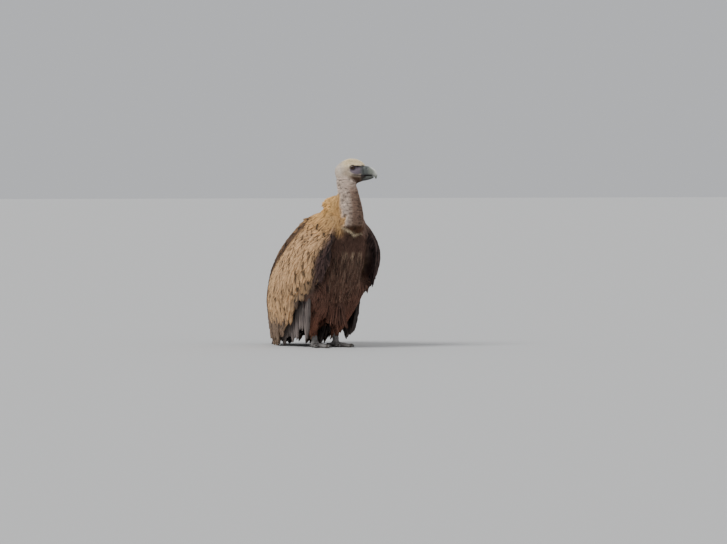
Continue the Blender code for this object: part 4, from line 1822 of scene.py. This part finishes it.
    def scattered(
        self, tree: bpy.types.NodeTree, given: bpy.types.Node, cover: bpy.types.NodeSocket
    ) -> bpy.types.Node:
        """Adds the nodes that scatter roots evenly over the covered skin.

        Args:
            tree: the tree they go in.
            given: its input node.
            cover: how thickly the coat grows.

        Returns:
            The node that holds the roots, with their normals stored as "out".
        """
        thin = add(tree, "ShaderNodeMath", {0: cover, 1: 0.04}, operation="LESS_THAN")
        part = add(
            tree,
            "GeometryNodeDeleteGeometry",
            {"Geometry": out(given, "Geometry"), "Selection": thin},
            domain="POINT",
        )
        spacing = out(given, "Spacing")
        square = add(tree, "ShaderNodeMath", {0: spacing, 1: spacing}, operation="MULTIPLY")
        dense = add(tree, "ShaderNodeMath", {0: 3.0, 1: square}, operation="DIVIDE")
        scatter = add(
            tree,
            "GeometryNodeDistributePointsOnFaces",
            {
                "Mesh": part,
                "Distance Min": spacing,
                "Density Max": dense,
                "Density Factor": cover,
                "Seed": out(given, "Seed"),
            },
            distribute_method="POISSON",
        )
        return add(
            tree,
            "GeometryNodeStoreNamedAttribute",
            {"Geometry": scatter, "Name": "out", "Value": out(scatter, "Normal")},
            data_type="FLOAT_VECTOR",
            domain="POINT",
        )

    def settled(
        self,
        tree: bpy.types.NodeTree,
        given: bpy.types.Node,
        stored: dict[str, bpy.types.NodeSocket],
        vane: bpy.types.Node,
        shape: bpy.types.Node,
    ) -> bpy.types.Node:
        """Adds the nodes that settle each vane onto the skin, with its tip raised.

        Args:
            tree: the tree they go in.
            given: its input node.
            stored: the named attributes.
            vane: the vane numbers, separated.
            shape: the realized feathers.

        Returns:
            The node that holds the settled feathers.
        """
        skin = add(tree, "GeometryNodeObjectInfo", {"Object": out(given, "Skin")})
        near = add(
            tree,
            "GeometryNodeProximity",
            {"Geometry": out(skin, "Geometry")},
            target_element="FACES",
        )
        here = add(tree, "GeometryNodeInputPosition")
        gap = add(
            tree, "ShaderNodeVectorMath", {0: here, 1: out(near, "Position")}, operation="SUBTRACT"
        )
        over = add(
            tree, "ShaderNodeVectorMath", {0: gap, 1: stored["out"]}, operation="DOT_PRODUCT"
        )
        over = add(tree, "ShaderNodeClamp", {0: over, 1: -0.02, 2: 0.03})
        sizes = add(tree, "ShaderNodeSeparateXYZ", {0: stored["quill"]})
        along = add(tree, "ShaderNodeMath", {0: out(vane, "Y"), 1: 0.0}, operation="MAXIMUM")
        rise = add(tree, "ShaderNodeMath", {0: along, 1: 0.8}, operation="POWER")
        body = add(
            tree,
            "ShaderNodeMath",
            {0: out(vane, "Z"), 1: out(sizes, "Y"), 2: -0.0004},
            operation="MULTIPLY_ADD",
        )
        wanted = add(
            tree,
            "ShaderNodeMath",
            {0: rise, 1: out(sizes, "Z"), 2: body},
            operation="MULTIPLY_ADD",
        )
        lack = add(tree, "ShaderNodeMath", {0: wanted, 1: over}, operation="SUBTRACT")
        shift = add(
            tree, "ShaderNodeVectorMath", {0: stored["out"], "Scale": lack}, operation="SCALE"
        )
        return add(tree, "GeometryNodeSetPosition", {"Geometry": shape, "Offset": shift})

    def grow(self, coat: Coat, roots: bpy.types.Mesh | None = None) -> bpy.types.Object:
        """Lays one coat and turns it into a plain piece on the frame.

        Args:
            coat: which coat.
            roots: a mesh of root points with their attributes, or None to scatter.

        Returns:
            The coat's piece.
        """
        carrier = show("carrier", (roots or self.skin.data).copy())
        rule = carrier.modifiers.new("lay", "NODES")
        tree = self.tree(None if roots else f"mask_{coat.name}")
        rule.node_group = tree
        wanted = {
            "Skin": self.skin,
            "Feathers": self.template(coat.vane),
            "Finish": self.material(coat.finish),
            "Spacing": coat.spacing_mm * MM,
            "Seed": coat.seed * 10,
            "Patch": self.patch,
            "Yaw": 0.02 if roots else coat.stray,
        }
        for item in tree.interface.items_tree:
            if item.in_out == "INPUT" and item.name in wanted:
                rule[item.identifier] = wanted[item.name]
        made = evaluated_mesh(carrier)
        bpy.data.objects.remove(carrier)
        bpy.data.node_groups.remove(tree)
        self.bake_map(made)
        made.materials.clear()
        made.materials.append(self.material(coat.finish))
        piece = show(coat.name, made)
        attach(piece, "root")
        return piece

    def bake_map(self, data: bpy.types.Mesh) -> None:
        """Turns the stored spots into the OFBake map and drops what the look doesn't need.

        Args:
            data: the coat's mesh.
        """
        spots = np.empty(len(data.vertices) * 3)
        data.attributes["bake_spot"].data.foreach_get("vector", spots)
        corners = np.empty(len(data.loops), dtype=np.int32)
        data.loops.foreach_get("vertex_index", corners)
        for name in [a.name for a in data.attributes if not a.is_internal and not a.is_required]:
            if name not in ("tint", "vane", "sharp_face", "material_index"):
                data.attributes.remove(data.attributes[name])
        layer = data.uv_layers.new(name="OFBake")
        layer.data.foreach_set("uv", spots.reshape(-1, 3)[corners, :2].astype(np.float32).ravel())
        data.shade_smooth()


@dataclass(frozen=True)
class Fan:
    """A run of flight feathers whose roots and tips step along two lines."""

    count: int
    roots: tuple[tuple[float, float, float], ...]
    tips: tuple[tuple[float, float, float], ...]
    outward: tuple[float, float, float]
    width: float
    tilt: float
    tint: str


WING_FANS = {
    "secondary_quills": Fan(
        count=16,
        roots=((11.4, 5.0, 21.0), (11.6, -6.0, 22.0), (10.2, -15.0, 22.5), (8.0, -21.0, 20.0)),
        tips=((10.6, 1.6, 5.0), (9.4, -7.5, 2.9), (8.0, -17.0, 2.3), (6.4, -25.4, 4.4)),
        outward=(1.0, 0.1, 0.05),
        width=3.6,
        tilt=0.22,
        tint="5F5652",
    ),
    "primary_quills": Fan(
        count=8,
        roots=((8.4, -13.0, 21.0), (7.8, -15.0, 24.0), (6.8, -18.0, 25.5)),
        tips=((6.6, -25.6, 2.8), (4.4, -30.0, 3.2), (2.0, -33.2, 4.0)),
        outward=(0.95, -0.25, 0.15),
        width=3.6,
        tilt=0.2,
        tint="332D2D",
    ),
}

TAIL_FAN = Fan(
    count=12,
    roots=((-2.4, -16.4, 22.6), (0.0, -16.0, 23.4), (2.4, -16.4, 22.6)),
    tips=((-5.9, -26.6, 3.2), (0.0, -27.6, 2.2), (5.9, -26.6, 3.2)),
    outward=(0.0, -0.85, 0.5),
    width=4.0,
    tilt=0.0,
    tint="383130",
)


@dataclass
class FlightFeathers:
    """The quills of wings and tail, each set by its root and tip."""

    plumage: Plumage

    def roots(self, fan: Fan, sides: tuple[int, ...]) -> bpy.types.Mesh:
        """Makes the root points of a fan with what the feather tree reads.

        Args:
            fan: the fan, drawn for the left side.
            sides: 1 and -1 for both wings, or 1 for the tail.

        Returns:
            A mesh of loose points with attributes.
        """
        at, lie, outward, quill, tint, spot = [], [], [], [], [], []
        for side in sides:
            for k in range(fan.count):
                share = k / (fan.count - 1)
                root = spline_row(list(fan.roots), share)
                tip = spline_row(list(fan.tips), share)
                root[0], tip[0] = root[0] * side, tip[0] * side
                start, end = place(*root), place(*tip)
                face = Vector(world(fan.outward[0] * side, fan.outward[1], fan.outward[2]))
                along = (end - start).normalized()
                face = (face - along * face.dot(along)).normalized()
                face.rotate(Matrix.Rotation(-fan.tilt * side, 3, along))
                start -= face * 0.0012 * (k % 2)
                at.append(tuple(start))
                lie.append(tuple(along))
                outward.append(tuple(face))
                quill.append(((end - start).length, fan.width * CM, 0.0))
                tint.append(linear(fan.tint))
                spot.append((0.02 + 0.004 * k, 0.98 if side > 0 else 0.97, 0.0))
        data = bpy.data.meshes.new("roots")
        data.from_pydata(at, [], [])
        for name, rows in (("lie", lie), ("out", outward), ("quill", quill), ("root_uv", spot)):
            store(data, name, "FLOAT_VECTOR", np.array(rows))
        store(data, "tint", "FLOAT_COLOR", np.array(tint))
        return data

    def build(self) -> list[bpy.types.Object]:
        """Builds the wing quills and the tail, and has them replace their CAD nodes.

        Returns:
            The pieces.
        """
        pieces = []
        for number, (name, fan) in enumerate(WING_FANS.items()):
            coat = Coat(name, Vane.QUILL, 0.0, QUILL, "flight_feathers", 30 + number)
            piece = self.plumage.grow(coat, self.roots(fan, (1, -1)))
            kind = "secondaries" if name.startswith("second") else "primaries"
            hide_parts(f"wing_{kind}_right", f"wing_{kind}_left")
            pieces.append(piece)
        coat = Coat("tail_quills", Vane.QUILL, 0.0, QUILL, "flight_feathers", 40)
        tail = self.plumage.grow(coat, self.roots(TAIL_FAN, (1,)))
        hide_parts("tail")
        return [*pieces, tail]


@dataclass(frozen=True)
class Bill:
    """The hooked upper bill with its cere, and the lower bill that closes under it."""

    upper: tuple[Ring, ...] = (
        Ring((0, 2.4, -1.2), 1.45, 1.7, 1.75),
        Ring((0, 3.4, -1.2), 1.5, 1.82, 1.8),
        Ring((0, 4.3, -1.25), 1.42, 1.84, 1.78),
        Ring((0, 5.6, -1.45), 1.15, 1.68, 1.5),
        Ring((0, 6.8, -1.9), 0.85, 1.35, 1.15),
        Ring((0, 7.55, -2.65), 0.6, 0.95, 0.75),
        Ring((0, 7.85, -3.4), 0.35, 0.43, 0.43),
        Ring((0, 7.88, -3.85), 0.19, 0.2, 0.2),
        Ring((0, 7.86, -4.12), 0.04, 0.04, 0.04),
    )
    lower: tuple[Ring, ...] = (
        Ring((0, 1.6, -4.0), 1.25, 1.1, 0.9),
        Ring((0, 3.2, -3.95), 1.2, 1.15, 0.85),
        Ring((0, 5.0, -3.8), 0.92, 1.0, 0.65),
        Ring((0, 6.3, -3.62), 0.6, 0.78, 0.42),
        Ring((0, 7.05, -3.5), 0.2, 0.3, 0.16),
    )

    def build(self, material: bpy.types.Material) -> list[bpy.types.Object]:
        """Builds both halves, with nostrils, cere and a pale ridge that is a painted highlight.

        Args:
            material: the horn finish.

        Returns:
            The pieces.
        """
        pieces = []
        for name, rings, rows in (("bill_upper", self.upper, 110), ("bill_lower", self.lower, 44)):
            points, faces = loft_arrays(list(rings), Vector((0, 0.7, 0.7)), rows, 40, HEAD, 2.3)
            data = mesh_from(f"{name}_horn", points, faces)
            local = to_head(coordinates(data))
            s, a, h = local.T
            side = np.sign(s)
            if name == "bill_upper":
                slit = np.exp(-(((a - 4.75 - 0.2 * (h + 0.7)) / 0.13) ** 2) - ((h + 0.55) / 0.42) ** 2)
                step = np.exp(-(((a - 5.35 - 0.12 * h) / 0.12) ** 2))
                swell = ease(5.4, 4.9, a) * 0.05
                hem = np.exp(-(((h + 2.55) / 0.22) ** 2)) * ease(7.0, 6.0, a) * 0.06
                s = s + side * (swell + hem - 0.26 * slit - 0.05 * step) * (np.abs(s) > 0.45)
                h = h + (swell - 0.04 * step) * (h > -0.8)
            matrix = np.array(HEAD)
            move_to(data, np.column_stack([s, a, h]) @ matrix[:3, :3].T + matrix[:3, 3])
            store(data, "tint", "FLOAT_COLOR", self.tint(name, s, a, h))
            data.materials.append(material)
            piece = show(f"{name}_horn", data)
            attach(piece, "root")
            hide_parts(name)
            pieces.append(piece)
        return pieces

    def tint(self, name: str, s: np.ndarray, a: np.ndarray, h: np.ndarray) -> np.ndarray:
        """Colours the horn: slate cere, grey-green sides, a painted highlight along the ridge and on
        the cere's top, painted shade in the nostril slit and over the lower bill, and dark edges.

        Args:
            name: which half.
            s: sideways.
            a: ahead.
            h: above.

        Returns:
            Linear colours.
        """
        count = len(s)
        slate, grey = np.array(linear("4A4E4B")), np.array(linear("72756C"))
        pale, dark = np.array(linear("E8E6DE")), np.array(linear("262424"))
        # Painted shade: the lower bill is drawn dark, partly its own darker horn and partly the shade
        # cast by the upper bill.
        if name == "bill_lower":
            share = ease(-4.9, -3.4, h)[:, None]
            return np.tile(dark, (count, 1)) * (1 - share) + grey * 0.3 * share
        share = ease(4.7, 6.2, a)[:, None]
        colour = slate * (1 - share) + grey * share
        # Painted highlight: the pale along the culmen and on the cere's top stands for light on the
        # ridge.
        ridge = (ease(0.95, 0.25, np.abs(s)) * ease(5.0, 6.4, a) * ease(-3.3, -1.8, h))[:, None]
        cere_highlight = ease(0.75, 0.2, np.abs(s)) * ease(3.1, 3.8, a) * ease(5.3, 4.7, a) * (h > 0)
        ridge = np.maximum(ridge, 0.45 * cere_highlight[:, None])
        colour = colour * (1 - ridge) + pale * ridge
        # Painted shade: the nostril slit is darkened as the shade inside it.
        slit = np.exp(-(((a - 4.75 - 0.2 * (h + 0.7)) / 0.15) ** 2) - ((h + 0.55) / 0.42) ** 2)
        tip = ease(-3.2, -3.9, h) * ease(5.5, 7.0, a)
        hem = ease(-2.0, -2.75, h) * ease(7.4, 6.4, a)
        for mask, share in ((slit, 0.95), (tip, 0.6), (hem, 0.85)):
            colour = colour * (1 - mask[:, None] * share) + dark * mask[:, None] * share
        return colour


@dataclass(frozen=True)
class Eyes:
    """Two eyeballs with a slightly proud cornea."""

    radius: float = EYE_RADIUS
    cornea: float = 0.07

    def build(self, material: bpy.types.Material) -> list[bpy.types.Object]:
        """Builds both eyes in their sockets.

        Args:
            material: the eye finish.

        Returns:
            The pieces.
        """
        pieces = []
        for name, side in SIDES.items():
            ball = bmesh.new()
            bmesh.ops.create_uvsphere(ball, u_segments=56, v_segments=40, radius=self.radius)
            data = bpy.data.meshes.new(f"eyeball_{name}")
            ball.to_mesh(data)
            ball.free()
            points = coordinates(data)[:, [2, 0, 1]] * np.array([side, 1, 1])
            ring = np.hypot(points[:, 1], points[:, 2])
            front = points[:, 0] * side > 0
            points[:, 0] += side * front * self.cornea * np.maximum(1 - (ring / 0.62) ** 2, 0)
            gaze = np.where(front, ring * 10, 10.0)
            points += np.array([side * EYE_SPREAD, 0, 0])
            matrix = np.array(HEAD)
            data = mesh_from(
                f"eyeball_{name}",
                points @ matrix[:3, :3].T + matrix[:3, 3],
                [tuple(f.vertices) for f in data.polygons],
            )
            store(data, "gaze", "FLOAT", gaze)
            data.materials.append(material)
            piece = show(f"eyeball_{name}", data)
            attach(piece, "root")
            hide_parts(f"eye_{name}")
            pieces.append(piece)
        return pieces


TARSUS_SPREAD = 4.6
ANKLE_FORWARD = -1.2
TOE_ROOT_HEIGHT = 1.25
TOES = {
    "inner": (-24.0, 5.6, 2.3),
    "middle": (4.0, 8.8, 2.4),
    "outer": (30.0, 6.2, 2.0),
    "hind": (194.0, 3.5, 2.2),
}


def toe_rings(side: int, outward: float, length: float) -> tuple[list[Ring], Vector]:
    """The sections of a toe: pads that swell and narrow, level on the floor.

    Args:
        side: 1 for left and -1 for right.
        outward: degrees outward from straight ahead.
        length: from the ankle to the claw's root, in cm.

    Returns:
        The sections and the direction that the toe points in.
    """
    heading = math.radians(outward) * side
    ahead = Vector((math.sin(heading), math.cos(heading), 0))
    root = Vector((side * TARSUS_SPREAD, ANKLE_FORWARD, TOE_ROOT_HEIGHT))
    pads = max(1, round(length / 2.9))
    rings = []
    for i in range(pads * 6 + 1):
        share = i / (pads * 6)
        plain = 0.98 - 0.34 * share
        half = plain * (1 + 0.12 * math.cos(math.tau * pads * share))
        at = root + ahead * (0.9 + (length - 0.9) * share)
        at.z = plain * 0.84 + (TOE_ROOT_HEIGHT - plain * 0.84) * 0.4 * (1 - share) ** 2
        rings.append(Ring(tuple(at), half, half * 0.9, at.z + 0.12))
    return rings, ahead


def foot_shapes(side: int) -> list[tuple[np.ndarray, list[tuple[int, ...]]]]:
    """The overlapping shapes of one foot: its knuckle and its toes.

    Args:
        side: 1 for left and -1 for right.

    Returns:
        Points and faces of each.
    """
    up = Vector((0, 0, 1))
    x, y = TARSUS_SPREAD * side, ANKLE_FORWARD
    knuckle = [
        Ring((x, y, 2.6), 0.9, 1.0, 1.0),
        Ring((x, y, 2.0), 1.35, 1.45, 1.4),
        Ring((x, y, 1.2), 1.5, 1.6, 1.5),
        Ring((x, y, 0.3), 1.2, 1.3, 1.2),
    ]
    shapes = [loft_arrays(knuckle, Vector((0, 1, 0)), 12, 20, TO_BODY)]
    for outward, length, _ in TOES.values():
        rings, _ = toe_rings(side, outward, length)
        shapes.append(loft_arrays(rings, up, 40, 18, TO_BODY))
    return shapes


@dataclass(frozen=True)
class Claws:
    """Eight blunt, worn claws that curve down from the toes."""

    tip: str = "1C1917"
    base: str = "4B443E"

    def build(self, material: bpy.types.Material) -> list[bpy.types.Object]:
        """Builds the claws.

        Args:
            material: the horn finish.

        Returns:
            The pieces.
        """
        pieces = []
        for side_name, side in SIDES.items():
            for name, (outward, length, reach) in TOES.items():
                rings, ahead = toe_rings(side, outward, length)
                start = Vector(rings[-1].at) - ahead * 0.35
                sections = []
                for i in range(10):
                    share = i / 9
                    at = start + ahead * math.sin(share * 1.15) * reach * 0.86
                    at.z = start.z + 0.34 * math.sin(math.pi * share)
                    at.z -= (start.z - 0.1) * share**1.6
                    half = 0.48 * (1 - share) ** 0.55 + 0.1
                    sections.append(Ring(tuple(at), half * 0.85, half, half))
                points, faces = loft_arrays(sections, Vector((0, 0, 1)), 22, 16, TO_BODY)
                points[:, 2] = np.maximum(points[:, 2], 0.0)
                data = mesh_from(f"talon_{name}_{side_name}", points, faces)
                far = np.linalg.norm(coordinates(data) - np.array(TO_BODY @ start), axis=1)
                share = ease(0.2, 1.0, far / (reach * CM))[:, None]
                tint = np.array(linear(self.base)) * (1 - share) + np.array(linear(self.tip)) * share
                store(data, "tint", "FLOAT_COLOR", tint)
                data.materials.append(material)
                piece = show(f"talon_{name}_{side_name}", data)
                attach(piece, "root")
                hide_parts(f"claw_{name}_{side_name}")
                pieces.append(piece)
        return pieces


@dataclass(frozen=True)
class Studio:
    """A pale floor, soft lights, and a long lens a little above the floor."""

    azimuth: float = -35.0
    elevation: float = 1.5
    distance: float = 12.0
    frame_width: float = 2.653
    aim_right: float = 0.133
    aim_height: float = 0.274
    sensor: float = 36.0

    def direction(self, azimuth: float, elevation: float) -> Vector:
        """A direction out from the bird, at degrees round it and above the floor."""
        a, e = math.radians(azimuth), math.radians(elevation)
        return Vector((math.sin(a) * math.cos(e), -math.cos(a) * math.cos(e), math.sin(e)))

    def light(self, name: str, azimuth: float, elevation: float, soft: float, power: float) -> None:
        """Adds a broad soft light that falls evenly on the bird and the floor.

        Args:
            name: the light's name.
            azimuth: degrees round the bird.
            elevation: degrees above the floor.
            soft: its width in degrees, which softens the shadow.
            power: its strength.
        """
        lamp = bpy.data.lights.new(name, "SUN")
        lamp.angle, lamp.energy = math.radians(soft), power
        holder = bpy.data.objects.new(name, lamp)
        back = self.direction(azimuth, elevation)
        holder.location = back * 4
        holder.rotation_mode = "QUATERNION"
        holder.rotation_quaternion = (-back).to_track_quat("-Z", "Y")
        bpy.context.scene.collection.objects.link(holder)

    def build(self) -> None:
        """Builds the floor, the lights and the camera."""
        size = 120.0
        corners = [(-size, -size, 0), (size, -size, 0), (size, size, 0), (-size, size, 0)]
        data = bpy.data.meshes.new("floor")
        data.from_pydata(corners, [], [(0, 1, 2, 3)])
        data.materials.append(FloorFinish().build())
        floor = show("floor", data)
        self.light("key", -88.0, 46.0, 22.0, 2.6)
        self.light("fill", 20.0, 35.0, 60.0, 0.35)
        sky = bpy.data.worlds.new("sky")
        sky.use_nodes = True
        back = sky.node_tree.nodes["Background"]
        back.inputs["Color"].default_value = (*linear("E6E8EC"), 1)
        back.inputs["Strength"].default_value = 0.7
        bpy.context.scene.world = sky
        lens = bpy.data.cameras.new("camera")
        lens.sensor_width = self.sensor
        lens.lens = self.sensor * self.distance / self.frame_width
        lens.clip_end = 200.0
        camera = bpy.data.objects.new("camera", lens)
        azimuth = math.radians(self.azimuth)
        right = Vector((math.cos(azimuth), math.sin(azimuth), 0))
        aim = place(0, 0, 0) + right * self.aim_right + Vector((0, 0, self.aim_height))
        back_way = self.direction(self.azimuth, self.elevation)
        camera.location = aim + back_way * self.distance
        camera.rotation_mode = "QUATERNION"
        camera.rotation_quaternion = (-back_way).to_track_quat("-Z", "Y")
        bpy.context.scene.collection.objects.link(camera)
        bpy.context.scene.camera = camera


def main() -> None:
    """Builds the studio and the bird, and reports each piece."""
    logging.basicConfig(level=logging.INFO, format="%(message)s")
    Studio().build()
    builder = Skin()
    skin = builder.build()
    skin.data.materials.clear()
    skin.data.materials.append(HideFinish().build())
    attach(skin, "root")
    flesh = [n for group in TRACT_NODES.values() for n in group]
    flesh += [f"{part}_{side}" for part in ("tarsus", "foot") for side in SIDES]
    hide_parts(*flesh)
    plumage = Plumage(skin)
    pieces = [skin, *[plumage.grow(coat) for coat in COATS]]
    pieces += FlightFeathers(plumage).build()
    horn = HornFinish("satin_slate_horn").build()
    pieces += Bill().build(horn)
    pieces += Claws().build(horn)
    pieces += Eyes().build(EyeFinish().build())
    for piece in pieces:
        count = sum(len(p.vertices) - 2 for p in piece.data.polygons)
        LOG.info("%s: %d triangles", piece.name, count)
    for name in [a.name for a in skin.data.attributes if a.name.startswith("mask_")]:
        skin.data.attributes.remove(skin.data.attributes[name])


if __name__ == "__main__":
    main()
